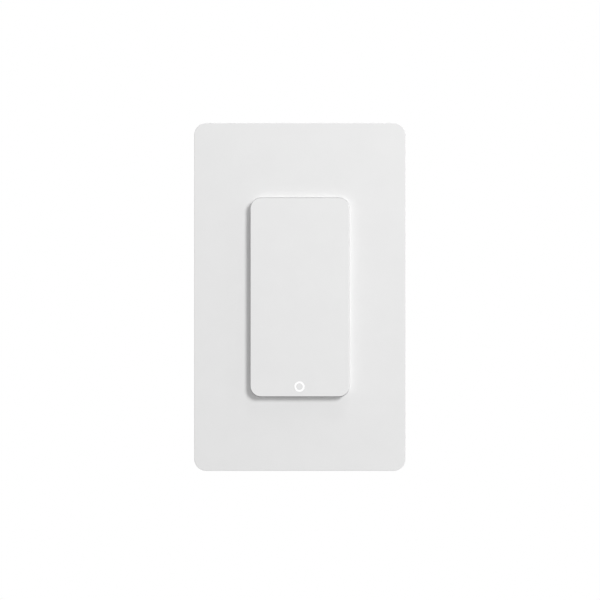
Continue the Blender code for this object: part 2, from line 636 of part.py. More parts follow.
def make_strap():
    strap = centred_block("strap", strap_width, strap_height, strap_front, 0.0,
                          corner=STRAP_CORNER)
    ears = centred_block("ears", EAR_WIDTH, ear_span, strap_front, 0.0, corner=STRAP_CORNER)
    tabs = [centred_block("ear_tab", EAR_WIDTH + 2 * EAR_TAB_REACH, EAR_TAB_WIDTH,
                          strap_front, 0.0, centre=(0.0, z), corner=STRAP_CORNER)
            for z in (ear_tab_height, -ear_tab_height)]
    edge = -strap_width / 2
    low = GROUND_TAB_CENTRE - GROUND_TAB_HEIGHT / 2
    high = GROUND_TAB_CENTRE + GROUND_TAB_HEIGHT / 2
    bend = block("bend", (edge - STRAP_THICKNESS, strap_front, low),
                 (edge + STRAP_THICKNESS, 0.0, high))
    leg = block("leg", (edge - STRAP_THICKNESS, strap_front, low),
                (edge, GROUND_TAB_REACH, high))
    join(strap, ears, *tabs, bend, leg)
    window = centred_block("window", WINDOW_WIDTH, window_height, -CUT_PAST, CUT_PAST,
                           corner=STRAP_CORNER)
    notch = block("notch", (-notch_half, -CUT_PAST, ring_height - notch_half),
                  (notch_half, CUT_PAST, -window_height / 2 + STRAP_CORNER))
    holes = [cylinder("hole", HOUSING_SCREW_RADIUS + 2 * SHANK_CLEARANCE, (x, -CUT_PAST, z), 2 * CUT_PAST)
             for x, z in pairs(housing_screw_x, housing_screw_z)]
    for side in (1, -1):
        holes.append(centred_block("slot", SLOT_LENGTH, SLOT_WIDTH, -CUT_PAST, CUT_PAST,
                                   centre=(0.0, side * box_screw_z),
                                   corner=SLOT_WIDTH * 0.49))
        holes.append(cylinder("thread", PLATE_SCREW_RADIUS + SHANK_CLEARANCE,
                              (0.0, -CUT_PAST, side * plate_screw_z), 2 * CUT_PAST))
        # score notches where the ear tabs break off
        for x in (EAR_WIDTH / 2, -EAR_WIDTH / 2):
            holes.append(cylinder("score", STRAP_THICKNESS / 2,
                                  (x, -CUT_PAST, side * (ear_tab_height - EAR_TAB_WIDTH / 2)),
                                  2 * CUT_PAST, steps=8))
    holes.append(cylinder("ground", TERMINAL_SCREW_RADIUS + SHANK_CLEARANCE,
                          (edge - CUT_PAST, GROUND_SCREW_DEPTH, GROUND_TAB_CENTRE),
                          2 * CUT_PAST, "right"))
    cut(strap, window, notch, *holes)
    part(strap, "strap", "steel")
    slotted_screw("ground_screw", "green_steel", TERMINAL_SCREW_RADIUS,
                  STRAP_THICKNESS + 2 * GAP, TERMINAL_SCREW_HEAD, TERMINAL_SCREW_HEAD_DEPTH,
                  (edge - STRAP_THICKNESS - GAP, GROUND_SCREW_DEPTH, GROUND_TAB_CENTRE), "right",
                  clock=math.pi / 5)


# The front frame, with the hinge bores, spring posts and slots

def make_front_frame():
    frame = centred_block("frame", flange_width, flange_height, flange_front, floor_rear,
                          corner=PADDLE_CORNER)
    collar = centred_block("collar", collar_width, collar_height, collar_front, floor_rear - GAP,
                           corner=PADDLE_CORNER - PADDLE_WALL)
    join(frame, collar)
    hollow = centred_block("hollow", frame_inner_width, frame_inner_height,
                           -2 * CUT_PAST, floor_front,
                           corner=PADDLE_CORNER - PADDLE_WALL - FRAME_WALL / 2)
    cut(frame, hollow)
    boss_front = flange_front + FRAME_BOSS_STEP
    bosses = [cylinder("boss", FRAME_BOSS_RADIUS, (x, boss_front, z),
                       floor_front - boss_front + FRAME_FLOOR / 2)
              for x, z in pairs(housing_screw_x, housing_screw_z)]
    posts = [cylinder("post", spring_post_radius, (x, floor_front - SPRING_POST_LENGTH,
                                                   spring_height),
                      SPRING_POST_LENGTH + FRAME_FLOOR / 2, steps=12)
             for x in (spring_offset, -spring_offset)]
    join(frame, *bosses, *posts)
    holes = []
    for x, z in pairs(housing_screw_x, housing_screw_z):
        holes.append(cylinder("pilot", HOUSING_SCREW_RADIUS + SHANK_CLEARANCE / 2,
                              (x, housing_screw_tip - GAP, z), CUT_PAST))
    for side, towards in ((1, "right"), (-1, "left")):
        start = side * (frame_inner_width / 2 - CUT_OVERLAP)
        holes.append(cylinder("bore", PIN_RADIUS + PIN_CLEARANCE,
                              (start, hinge_y, hinge_height), bore_depth + CUT_OVERLAP, towards))
        x = side * hook_offset
        holes.append(block("hook_slot", (x - HOOK_WIDTH / 2 - GAP, -2 * CUT_PAST, hook_slot_low),
                           (x + HOOK_WIDTH / 2 + GAP, CUT_PAST, hook_slot_high)))
    holes.append(cylinder("pusher_hole", PUSHER_RADIUS + PUSHER_HOLE_CLEARANCE,
                          (0.0, -2 * CUT_PAST, pusher_height), 3 * CUT_PAST))
    holes.append(cylinder("guide_hole", GUIDE_STEM_RADIUS + PUSHER_HOLE_CLEARANCE,
                          (0.0, -2 * CUT_PAST, ring_height), 3 * CUT_PAST))
    cut(frame, *holes)
    part(frame, "front_frame", "inner_plastic")


# The paddle, which swings on two pins near its top, and what rides on it

def make_paddle():
    inner_width = PADDLE_WIDTH - 2 * PADDLE_WALL
    inner_height = PADDLE_HEIGHT - 2 * PADDLE_WALL
    shell = centred_block("shell", skirt_width, skirt_height, paddle_face, skirt_rear,
                          corner=PADDLE_CORNER, front_round=PADDLE_EDGE_ROUND,
                          draft=PADDLE_DRAFT, corner_steps=6, edge_steps=3)
    hollow = centred_block("hollow", inner_width, inner_height, paddle_under, 0.0,
                           corner=PADDLE_CORNER - PADDLE_WALL)
    cut(shell, hollow)
    root = paddle_under - PADDLE_WALL / 2
    added = []
    for side, towards in ((1, "right"), (-1, "left")):
        outer = side * pin_lug_outer
        inner = outer - side * LUG_THICKNESS
        low_x, high_x = sorted((outer, inner))
        added.append(block("lug", (low_x, root, hinge_height - LUG_WIDTH / 2),
                           (high_x, hinge_y, hinge_height + LUG_WIDTH / 2)))
        added.append(cylinder("lug_end", LUG_WIDTH / 2, (inner, hinge_y, hinge_height),
                              LUG_THICKNESS, towards, steps=24))
        added.append(cylinder("pin", PIN_RADIUS, (side * (pin_lug_outer - LUG_THICKNESS / 2),
                                                  hinge_y, hinge_height),
                              LUG_THICKNESS / 2 + LUG_SIDE_GAP + PIN_REACH, towards))
        x = side * hook_offset
        added.append(block("hook_arm", (x - HOOK_WIDTH / 2, root, hook_low),
                           (x + HOOK_WIDTH / 2, barb_rear, hook_high)))
        added.append(block("barb", (x - HOOK_WIDTH / 2, barb_front, hook_low - BARB_REACH),
                           (x + HOOK_WIDTH / 2, barb_rear, hook_height)))
    added.append(cylinder("pusher", PUSHER_RADIUS, (0.0, root, pusher_height),
                          pusher_tip - root))
    # stiffening ribs across the back, which stop short of the frame's collar
    for drop in RIBS_BELOW_HINGE:
        added.append(centred_block("rib", frame_inner_width - 2 * LUG_SIDE_GAP,
                                   RIB_WIDTH, root, paddle_under + RIB_DEPTH,
                                   centre=(0.0, hinge_height - drop)))
    # raised seats that keep the springs in place
    for x in (spring_offset, -spring_offset):
        added.append(cylinder("spring_stud", spring_post_radius, (x, root, spring_height),
                              paddle_under - root + SPRING_STUD_LENGTH, steps=12))
    join(shell, *added)
    bore = turned("ring_bore", [(0.0, -CUT_OVERLAP), (ring_bore, -CUT_OVERLAP),
                                (ring_bore, CUT_PAST), (0.0, CUT_PAST)],
                  (0.0, paddle_face, ring_height), steps=RING_STEPS)
    cut(shell, bore)
    return part(shell, "paddle", "white_plastic", (0.0, hinge_y, hinge_height))


def make_light_guide(paddle):
    """The clear guide whose rim is the lit ring, and the opaque disc inside the rim."""
    place = (0.0, paddle_face, ring_height)
    stem_end = guide_stem_rear - paddle_face
    recess = RING_CENTRE_RADIUS + CLOSE_FIT / 2
    guide = turned("guide", [(0.0, RING_CENTRE_DEPTH + CLOSE_FIT),
                             (recess, RING_CENTRE_DEPTH + CLOSE_FIT), (recess, 0.0),
                             (RING_RADIUS, 0.0), (RING_RADIUS, GUIDE_HEAD_DEPTH),
                             (GUIDE_STEM_RADIUS, GUIDE_HEAD_DEPTH),
                             (GUIDE_STEM_RADIUS, stem_end), (0.0, stem_end)],
                   place, steps=RING_STEPS)
    part(guide, "light_guide", "clear_plastic", place, paddle)
    disc = cylinder("disc", RING_CENTRE_RADIUS, place, RING_CENTRE_DEPTH, steps=RING_STEPS)
    part(disc, "ring_centre", "white_plastic", place, paddle)


def make_springs():
    low = floor_front - GAP - SPRING_WIRE
    high = paddle_under + GAP + SPRING_WIRE
    steps = 10
    count = round((SPRING_TURNS + 2 * SPRING_END_TURNS) * steps)
    mean = SPRING_RADIUS - SPRING_WIRE
    for side, word in ((1, "right"), (-1, "left")):
        points = []
        for i in range(count + 1):
            turn = i / steps
            share = min(max((turn - SPRING_END_TURNS) / SPRING_TURNS, 0.0), 1.0)
            angle = 2 * math.pi * turn * side
            points.append((mean * math.cos(angle), low + (high - low) * share,
                           mean * math.sin(angle)))
        wire = bpy.data.curves.new("wire", "CURVE")
        wire.dimensions = "3D"
        spline = wire.splines.new("POLY")
        spline.points.add(len(points) - 1)
        for point, co in zip(spline.points, points):
            point.co = (*co, 1.0)
        wire.bevel_depth = SPRING_WIRE
        wire.bevel_resolution = 2
        wire.use_fill_caps = True
        coil = bpy.data.objects.new("coil", wire)
        CUTTERS.objects.link(coil)
        coil.location = (side * spring_offset, 0.0, spring_height)
        bpy.context.view_layer.update()
        coil = baked(coil, f"return_spring_{word}")
        part(coil, f"return_spring_{word}", "steel", (side * spring_offset, low, spring_height))


# The electronics between the strap and the rear housing

def corner_notched(name, width, height, front, rear):
    """A board with its corners cut away round the housing's screw columns."""
    board = centred_block(name, width, height, front, rear)
    reach_x = width / 2 - housing_screw_x + COLUMN_RADIUS + BOARD_MARGIN
    reach_z = height / 2 - housing_screw_z + COLUMN_RADIUS + BOARD_MARGIN
    notches = [centred_block("notch", 2 * reach_x, 2 * reach_z, front - CUT_PAST,
                              rear + CUT_PAST,
                             centre=place)
               for place in pairs(width / 2, height / 2)]
    return cut(board, *notches)


def make_control_board():
    board = corner_notched("board", board_width, board_height, CONTROL_BOARD_FRONT,
                           control_board_rear)
    part(board, "control_board", "board_green")
    sheet = centred_block("sheet", board_width, board_height, GAP, sheet_rear)
    opening = centred_block("opening", WINDOW_WIDTH, window_height, -CUT_PAST, CUT_PAST)
    holes = [cylinder("hole", HOUSING_SCREW_RADIUS + 2 * SHANK_CLEARANCE, (x, -CUT_PAST, z), 2 * CUT_PAST)
             for x, z in pairs(housing_screw_x, housing_screw_z)]
    notch = block("notch", (-notch_half, -CUT_PAST, ring_height - notch_half),
                  (notch_half, CUT_PAST, 0.0))
    cut(sheet, opening, notch, *holes)
    part(sheet, "insulating_sheet", "film_grey")


def make_tact_switch():
    rear = CONTROL_BOARD_FRONT - GAP
    front = rear - SWITCH_HEIGHT
    bore = PLUNGER_RADIUS + CLOSE_FIT
    plunger_rear = front + PLUNGER_SKIRT
    case = centred_block("case", SWITCH_SIDE, SWITCH_SIDE, front, rear,
                         centre=(0.0, pusher_height), corner=0.0006, corner_steps=2)
    feet = [centred_block("foot", SWITCH_FOOT_WIDTH, SWITCH_SIDE + 2 * SWITCH_FOOT_REACH,
                          rear - SWITCH_FOOT_DEPTH, rear,
                          centre=(x, pusher_height))
            for x in (SWITCH_SIDE / 3, -SWITCH_SIDE / 3)]
    join(case, *feet)
    cut(case, cylinder("bore", bore, (0.0, front - CUT_OVERLAP, pusher_height),
                       CUT_OVERLAP + PLUNGER_SKIRT + PLUNGER_TRAVEL + GAP))
    part(case, "tact_switch_case", "dark_plastic")
    place = (0.0, plunger_tip, pusher_height)
    stem = plunger_rear - plunger_tip
    edge = PLUNGER_RADIUS * 0.15
    plunger = turned("plunger", [(0.0, 0.0), (PLUNGER_RADIUS - edge, 0.0),
                                 (PLUNGER_RADIUS, edge), (PLUNGER_RADIUS, stem), (0.0, stem)],
                     place)
    part(plunger, "tact_switch_plunger", "relay_blue", place)


def make_radio():
    rear = CONTROL_BOARD_FRONT - GAP
    board_front = rear - MODULE_THICKNESS
    module = centred_block("module", MODULE_WIDTH, MODULE_HEIGHT, board_front, rear,
                           centre=(0.0, MODULE_CENTRE))
    # half-round contacts along both edges of the module
    contacts = [cylinder("contact", MODULE_CONTACT, (x, board_front - CUT_OVERLAP,
                                                     module_bottom + MODULE_PITCH * (i + 1)),
                         CUT_PAST, steps=8)
                for x in (MODULE_WIDTH / 2, -MODULE_WIDTH / 2) for i in range(MODULE_CONTACTS)]
    cut(module, *contacts)
    part(module, "radio_module", "board_green")
    shield_centre = module_bottom + SHIELD_HEIGHT / 2 + MODULE_CONTACT
    shield_rear = board_front - GAP
    shield = centred_block("shield", MODULE_WIDTH - 4 * MODULE_CONTACT, SHIELD_HEIGHT,
                           shield_rear - SHIELD_THICKNESS, shield_rear,
                           centre=(0.0, shield_centre), corner=0.0006, front_round=0.0003,
                           corner_steps=2)
    part(shield, "radio_shield", "steel")
    led = centred_block("led", LED_WIDTH, LED_WIDTH / 2, rear - LED_HEIGHT, rear,
                        centre=(0.0, ring_height), front_round=0.0001)
    part(led, "status_led", "clear_plastic")


def make_power_board():
    board = centred_block("board", power_board_width, power_board_height,
                          POWER_BOARD_FRONT, power_board_rear, corner=BOARD_CORNER, corner_steps=2)
    part(board, "power_board", "board_green")
    seat = POWER_BOARD_FRONT - GAP
    left = -power_board_width / 2 + BOARD_MARGIN
    right = -left
    relay_x = left + RELAY_WIDTH / 2
    relay = centred_block("relay", RELAY_WIDTH, RELAY_LENGTH, seat - RELAY_HEIGHT, seat,
                          centre=(relay_x, relay_centre), corner=0.0006, front_round=0.0005,
                          corner_steps=2)
    part(relay, "relay", "relay_blue")
    for word, z in (("upper", relay_centre + CAPACITOR_PITCH / 2),
                    ("lower", relay_centre - CAPACITOR_PITCH / 2)):
        r = CAPACITOR_RADIUS
        waist = CAPACITOR_HEIGHT * 0.12
        can = turned("can", [(0.0, 0.0), (r * 0.94, 0.0), (r, r * 0.06), (r, waist),
                             (r * 0.93, waist * 1.4), (r, waist * 1.8),
                             (r, CAPACITOR_HEIGHT), (0.0, CAPACITOR_HEIGHT)],
                     (right - r, seat, z), "front")
        part(can, f"bulk_capacitor_{word}", "capacitor_sleeve", (right - r, seat, z))
    film = centred_block("film", FILM_WIDTH, FILM_THICKNESS, seat - FILM_HEIGHT, seat,
                         centre=(0.0, film_centre), corner=0.0004, front_round=0.0004,
                         corner_steps=2)
    part(film, "filter_capacitor", "yellow_tape")
    bridge = centred_block("bridge", BRIDGE_WIDTH, BRIDGE_LENGTH, seat - BRIDGE_HEIGHT,
                           seat, centre=(right - BRIDGE_WIDTH / 2, bridge_centre), corner=0.0004,
                           front_round=0.0003, corner_steps=2)
    part(bridge, "bridge_rectifier", "dark_plastic")
    fuse_x = right - FUSE_RADIUS
    place = (fuse_x, seat - FUSE_RADIUS, fuse_low)
    cap = FUSE_LENGTH * 0.22
    neck = FUSE_RADIUS * 0.9
    fuse = turned("fuse", [(0.0, 0.0), (FUSE_RADIUS, 0.0), (FUSE_RADIUS, cap), (neck, cap),
                           (neck, FUSE_LENGTH - cap), (FUSE_RADIUS, FUSE_LENGTH - cap),
                           (FUSE_RADIUS, FUSE_LENGTH), (0.0, FUSE_LENGTH)], place, "up", 12)
    part(fuse, "fuse", "ceramic", place)
    edge = VARISTOR_THICKNESS * 0.25
    place = (left, seat - VARISTOR_RADIUS, film_centre - FILM_THICKNESS / 2 - COMPONENT_GAP
             - VARISTOR_RADIUS)
    disc = turned("disc", [(0.0, 0.0), (VARISTOR_RADIUS - edge, 0.0), (VARISTOR_RADIUS, edge),
                           (VARISTOR_RADIUS, VARISTOR_THICKNESS - edge),
                           (VARISTOR_RADIUS - edge, VARISTOR_THICKNESS),
                           (0.0, VARISTOR_THICKNESS)], place, "right")
    part(disc, "varistor", "relay_blue", place)


def make_transformer():
    seat = POWER_BOARD_FRONT - GAP
    front = seat - CORE_DEPTH
    window = (CORE_WIDTH - CORE_LEG - 2 * CORE_YOKE) / 2
    core = centred_block("core", CORE_WIDTH, CORE_THICKNESS, front, seat,
                         centre=(0.0, core_centre))
    windows = [centred_block("window", window, 2 * CORE_THICKNESS, front + CORE_YOKE,
                             seat - CORE_YOKE,
                             centre=(side * (CORE_LEG + window) / 2, core_centre))
               for side in (1, -1)]
    cut(core, *windows)
    part(core, "transformer_core", "ferrite")
    inner_x = CORE_LEG + 2 * GAP
    inner_z = CORE_THICKNESS + 2 * GAP
    coil = centred_block("coil", CORE_LEG + 2 * (window - GAP), inner_z + 2 * COIL_BUILD,
                         front + CORE_YOKE + GAP, seat - CORE_YOKE - GAP,
                         centre=(0.0, core_centre), corner=COIL_BUILD * 0.8)
    cut(coil, centred_block("leg", inner_x, inner_z, front, seat, centre=(0.0, core_centre)))
    part(coil, "transformer_coil", "yellow_tape")


def make_board_header():
    """A row of pins that joins the two boards."""
    front = control_board_rear + GAP
    rear = POWER_BOARD_FRONT - GAP
    socket = centred_block("socket", HEADER_WIDTH, HEADER_THICKNESS, rear - HEADER_SOCKET, rear,
                           centre=(0.0, header_centre))
    base = centred_block("base", HEADER_WIDTH, HEADER_THICKNESS, front, front + HEADER_THICKNESS,
                         centre=(0.0, header_centre))
    pins = [centred_block("pin", HEADER_PIN, HEADER_PIN, front + HEADER_THICKNESS / 2,
                          rear - HEADER_SOCKET / 2,
                          centre=((i - (HEADER_PINS - 1) / 2) * HEADER_PITCH, header_centre))
            for i in range(HEADER_PINS)]
    join(socket, base, *pins)
    part(socket, "board_header", "dark_plastic")


# The rear housing and its terminals

def make_rear_housing():
    box = centred_block("box", HOUSING_WIDTH, housing_height, housing_front, housing_rear,
                        corner=HOUSING_CORNER, rear_round=HOUSING_REAR_ROUND)
    hollow = centred_block("hollow", housing_inner_width, housing_inner_height, -CUT_PAST,
                           housing_inner_rear, corner=HOUSING_CORNER - HOUSING_WALL)
    cut(box, hollow)
    into_rear = housing_inner_rear + HOUSING_WALL / 2
    inner_x = housing_inner_width / 2
    column_front = sheet_rear + GAP
    added = [cylinder("column", COLUMN_RADIUS, (x, column_front, z), into_rear - column_front)
             for x, z in pairs(housing_screw_x, housing_screw_z)]
    ledge_front = control_board_rear + GAP
    standoff_front = power_board_rear + GAP
    for x, z in pairs(STANDOFF_X, standoff_z):
        added.append(cylinder("standoff", STANDOFF_RADIUS, (x, standoff_front, z),
                              into_rear - standoff_front, steps=12))
    for side in (1, -1):
        for z in (LEDGE_HEIGHT, 0.0, -LEDGE_HEIGHT):
            low_x, high_x = sorted((side * (inner_x - LEDGE_REACH),
                                    side * (inner_x + HOUSING_WALL / 2)))
            added.append(block("ledge", (low_x, ledge_front, z - LEDGE_THICKNESS / 2),
                               (high_x, into_rear, z + LEDGE_THICKNESS / 2)))
        for z in (POCKET_CENTRE, -POCKET_CENTRE):
            low_x, high_x = sorted((side * (pocket_floor - POCKET_WALL),
                                    side * (inner_x + HOUSING_WALL / 2)))
            half = POCKET_HEIGHT / 2 + POCKET_WALL
            added.append(block("pocket_wall", (low_x, POCKET_FRONT - POCKET_WALL, z - half),
                               (high_x, into_rear, z + half)))
    join(box, *added)
    holes = []
    for x, z in pairs(housing_screw_x, housing_screw_z):
        holes.append(cylinder("shank_hole", HOUSING_SCREW_RADIUS + SHANK_CLEARANCE,
                              (x, -CUT_PAST, z), HOUSING_DEPTH))
        holes.append(cylinder("head_hole", HOUSING_SCREW_HEAD + SHANK_CLEARANCE,
                              (x, COLUMN_SEAT, z), HOUSING_DEPTH))
    for side in (1, -1):
        for z in (POCKET_CENTRE, -POCKET_CENTRE):
            low_x, high_x = sorted((side * pocket_floor, side * HOUSING_WIDTH))
            holes.append(block("pocket", (low_x, POCKET_FRONT, z - POCKET_HEIGHT / 2),
                               (high_x, pocket_rear, z + POCKET_HEIGHT / 2)))
            for offset in (wire_offset, -wire_offset):
                holes.append(cylinder("wire_hole", WIRE_HOLE_RADIUS,
                                      (side * wire_x, pocket_rear - CUT_OVERLAP, z + offset),
                                      POCKET_REAR_WALL + CUT_PAST, steps=16))
    cut(box, *holes)
    part(box, "rear_housing", "dark_plastic")


def make_terminals():
    words = {(1, 1): "line", (1, -1): "load", (-1, 1): "neutral", (-1, -1): "traveller"}
    centre_y = (POCKET_FRONT + pocket_rear) / 2
    for (side, level), word in words.items():
        z = level * POCKET_CENTRE
        towards = "left" if side > 0 else "right"
        half = POCKET_HEIGHT / 2 - TERMINAL_MARGIN
        plate_inner = pocket_floor + GAP
        plate_outer = plate_inner + TERMINAL_THICKNESS
        seat = plate_outer + WIRE_SPACE + CLAMP_THICKNESS
        low_x, high_x = sorted((side * plate_inner, side * plate_outer))
        plate = block("plate", (low_x, POCKET_FRONT + TERMINAL_MARGIN, z - half),
                      (high_x, pocket_rear - TERMINAL_MARGIN, z + half))
        low_x, high_x = sorted((side * plate_inner, side * seat))
        front = POCKET_FRONT + TERMINAL_MARGIN
        flange = block("flange", (low_x, front, z - half),
                       (high_x, front + TERMINAL_THICKNESS, z + half))
        join(plate, flange)
        shank = TERMINAL_SCREW_RADIUS + SHANK_CLEARANCE
        cut(plate, cylinder("hole", shank, (side * (seat + CUT_OVERLAP), centre_y, z), CUT_PAST, towards))
        part(plate, f"terminal_plate_{word}", "brass")
        low_x, high_x = sorted((side * (seat - CLAMP_THICKNESS), side * seat))
        clamp = block("clamp", (low_x, centre_y - CLAMP_SIDE / 2, z - CLAMP_SIDE / 2),
                      (high_x, centre_y + CLAMP_SIDE / 2, z + CLAMP_SIDE / 2))
        grooves = [cylinder("groove", WIRE_HOLE_RADIUS,
                            (side * wire_x, centre_y - CLAMP_SIDE, z + offset), 2 * CLAMP_SIDE,
                            steps=16)
                   for offset in (wire_offset, -wire_offset)]
        cut(clamp, cylinder("hole", shank, (side * (seat + CUT_OVERLAP), centre_y, z), CUT_PAST, towards),
            *grooves)
        part(clamp, f"clamp_plate_{word}", "brass")
        slotted_screw(f"terminal_screw_{word}", "brass", TERMINAL_SCREW_RADIUS,
                      seat + GAP - plate_inner, TERMINAL_SCREW_HEAD, TERMINAL_SCREW_HEAD_DEPTH,
                      (side * (seat + GAP), centre_y, z), towards, clock=0.7 * level)


make_cover_plate()
make_mounting_plate()
make_screws()
make_strap()
make_front_frame()
make_light_guide(make_paddle())
make_springs()
make_control_board()
make_tact_switch()
make_radio()
make_power_board()
make_transformer()
make_board_header()
make_rear_housing()
make_terminals()
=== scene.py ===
import json
import math

import bmesh
import bpy
from mathutils import Matrix, Vector


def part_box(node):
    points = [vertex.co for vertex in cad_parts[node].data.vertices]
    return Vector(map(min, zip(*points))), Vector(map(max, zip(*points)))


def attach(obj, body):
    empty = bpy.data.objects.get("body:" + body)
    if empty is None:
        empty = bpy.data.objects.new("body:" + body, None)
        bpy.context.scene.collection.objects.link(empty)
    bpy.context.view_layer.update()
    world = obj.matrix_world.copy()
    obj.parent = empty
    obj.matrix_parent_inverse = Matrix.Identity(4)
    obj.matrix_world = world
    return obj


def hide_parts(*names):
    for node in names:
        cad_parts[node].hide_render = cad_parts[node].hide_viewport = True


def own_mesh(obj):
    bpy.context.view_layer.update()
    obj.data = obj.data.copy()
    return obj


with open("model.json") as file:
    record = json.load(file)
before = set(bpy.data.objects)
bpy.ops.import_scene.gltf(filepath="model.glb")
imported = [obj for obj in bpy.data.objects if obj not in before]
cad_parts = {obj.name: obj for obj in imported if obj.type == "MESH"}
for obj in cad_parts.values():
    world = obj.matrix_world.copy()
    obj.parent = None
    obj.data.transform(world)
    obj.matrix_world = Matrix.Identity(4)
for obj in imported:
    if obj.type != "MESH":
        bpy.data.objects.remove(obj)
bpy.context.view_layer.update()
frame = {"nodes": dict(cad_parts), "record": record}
slotOf = {part["node"]: part["material_slot"] for part in frame["record"]["subparts"]}
mm = 0.001


# A socket that can be used in plain arithmetic
class Wire:
    def __init__(self, graph, socket):
        self.graph = graph
        self.socket = socket

    def math(self, operation, first, second):
        return self.graph.node("ShaderNodeMath", {"operation": operation}, {0: first, 1: second})

    def __add__(self, other):
        return self.math("ADD", self, other)

    def __mul__(self, other):
        return self.math("MULTIPLY", self, other)

    def __gt__(self, other):
        return self.math("GREATER_THAN", self, other)

    def __lt__(self, other):
        return self.math("LESS_THAN", self, other)

    __radd__ = __add__
    __rmul__ = __mul__


# A node tree, of a material or of the world
class Graph:
    def __init__(self, tree):
        self.tree = tree

    def node(self, kind, settings=None, sockets=None, output=0):
        made = self.tree.nodes.new(kind)
        for key, value in (settings or {}).items():
            setattr(made, key, value)
        for key, value in (sockets or {}).items():
            self.feed(made.inputs[key], value)
        return Wire(self, made.outputs[output])

    def feed(self, socket, value):
        if isinstance(value, Wire):
            self.tree.links.new(value.socket, socket)
        else:
            socket.default_value = value


# One material's nodes
class Finish(Graph):
    def __init__(self, name, fixed):
        self.material = bpy.data.materials.new(name)
        self.material.use_nodes = True
        super().__init__(self.material.node_tree)
        self.shader = self.tree.nodes["Principled BSDF"]
        for key, value in fixed.items():
            self.shader.inputs[key].default_value = value
        self.place = self.node("ShaderNodeTexCoord", output="Object")

    def noise(self, size, detail=2.0, stretch=(1.0, 1.0, 1.0)):
        scaled = self.node("ShaderNodeVectorMath", {"operation": "MULTIPLY"},
                           {0: self.place, 1: tuple(s / size for s in stretch)})
        return self.node("ShaderNodeTexNoise", {}, {"Vector": scaled, "Scale": 1.0,
                                                    "Detail": detail})

    def blend(self, mask, dark, light):
        # inputs 6 and 7 and output 2 of a Mix node are its colours
        return self.node("ShaderNodeMix", {"data_type": "RGBA"},
                         {0: mask, 6: (*dark, 1.0), 7: (*light, 1.0)}, output=2)

    def colour(self, value):
        self.feed(self.shader.inputs["Base Color"], value)

    def roughness(self, value):
        self.feed(self.shader.inputs["Roughness"], value)

    def bump(self, height, depth):
        relief = self.node("ShaderNodeBump", {}, {"Height": height, "Distance": depth,
                                                  "Strength": 1.0})
        self.feed(self.shader.inputs["Normal"], relief)


def around(noise, middle, swing):
    # a noise from 0 to 1 becomes a value that swings around a middle
    return noise * swing + (middle - swing / 2)


def toned(tone, share):
    return tuple(c * share for c in tone)


# Finishes
def mouldedPlastic(name, tone, rough, grain, relief, shade=0.02, shine=0.45):
    finish = Finish(name, {"IOR": 1.46, "Specular IOR Level": shine})
    cloud = finish.noise(9 * mm, detail=3.0)
    finish.colour(finish.blend(cloud, toned(tone, 1 - shade), toned(tone, 1 + shade)))
    spark = finish.noise(grain)
    finish.roughness(around(spark, rough, swing=0.10))
    finish.bump(spark, relief)
    return finish.material


metalWear = {"line": 0.35 * mm, "lineSwing": 0.22, "stain": 4 * mm, "stainSwing": 0.10,
             "shineMore": 0.14, "relief": 0.004 * mm}


def metal(name, tone, rough, drawn=(1.0, 1.0, 1.0), variation=0.18):
    # drawn lengthens the lines along an axis; shineMore makes up for what the wear adds
    w = metalWear
    finish = Finish(name, {"Metallic": 1.0})
    lines = finish.noise(w["line"], detail=4.0, stretch=drawn)
    stain = finish.noise(w["stain"], detail=3.0)
    finish.colour(finish.blend(stain, toned(tone, 1 - variation), tone))
    finish.roughness(lines * w["lineSwing"] + stain * w["stainSwing"] + (rough - w["shineMore"]))
    finish.bump(lines, w["relief"])
    return finish.material


def circuitBoard(name):
    finish = Finish(name, {"IOR": 1.5})
    tracks = finish.node("ShaderNodeTexBrick", {"offset": 0.37},
                         {"Vector": finish.place, "Scale": 380.0, "Mortar Size": 0.05})
    finish.colour(finish.blend(tracks, (0.010, 0.070, 0.028), (0.026, 0.140, 0.060)))
    finish.roughness(around(finish.noise(1 * mm), middle=0.375, swing=0.15))
    return finish.material


def bareEnds(name, node, axis, lower, upper, body, ends, rough):
    # a small sealed part whose ends are bare metal: lower and upper say how far in
    low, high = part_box(node)
    finish = Finish(name, {"IOR": 1.5})
    along = finish.node("ShaderNodeSeparateXYZ", {}, {0: finish.place}, output=axis)
    bare = (along < low[axis] + lower) + (along > high[axis] - upper)
    finish.colour(finish.blend(bare, body, ends))
    finish.feed(finish.shader.inputs["Metallic"], bare)
    finish.roughness(around(finish.noise(0.8 * mm), rough, swing=0.12))
    return finish.material


def litPlastic(name):
    return Finish(name, {"Base Color": (0.92, 0.92, 0.92, 1.0), "Roughness": 0.25,
                         "Emission Color": (1.0, 1.0, 1.0, 1.0),
                         "Emission Strength": 0.16}).material


plateFinish = mouldedPlastic("platePlastic", (0.80, 0.80, 0.80), rough=0.46, grain=0.16 * mm,
                             relief=0.003 * mm)
paddleFinish = mouldedPlastic("paddlePlastic", (0.817, 0.817, 0.817), rough=0.46,
                              grain=0.14 * mm, relief=0.002 * mm, shine=0.15)
frameFinish = mouldedPlastic("framePlastic", (0.58, 0.58, 0.57), rough=0.50, grain=0.25 * mm,
                             relief=0.006 * mm)
housingFinish = mouldedPlastic("housingPlastic", (0.030, 0.031, 0.034), rough=0.48,
                               grain=0.22 * mm, relief=0.012 * mm, shade=0.12)
relayFinish = mouldedPlastic("relayCase", (0.030, 0.120, 0.350), rough=0.34, grain=0.30 * mm,
                             relief=0.004 * mm, shade=0.05)
ferriteFinish = mouldedPlastic("ferrite", (0.040, 0.040, 0.042), rough=0.62, grain=0.12 * mm,
                               relief=0.010 * mm, shade=0.15)
tapeFinish = mouldedPlastic("yellowTape", (0.690, 0.480, 0.050), rough=0.32, grain=0.60 * mm,
                            relief=0.006 * mm, shade=0.06)
filmFinish = mouldedPlastic("insulatingFilm", (0.360, 0.360, 0.350), rough=0.42,
                            grain=0.40 * mm, relief=0.003 * mm)
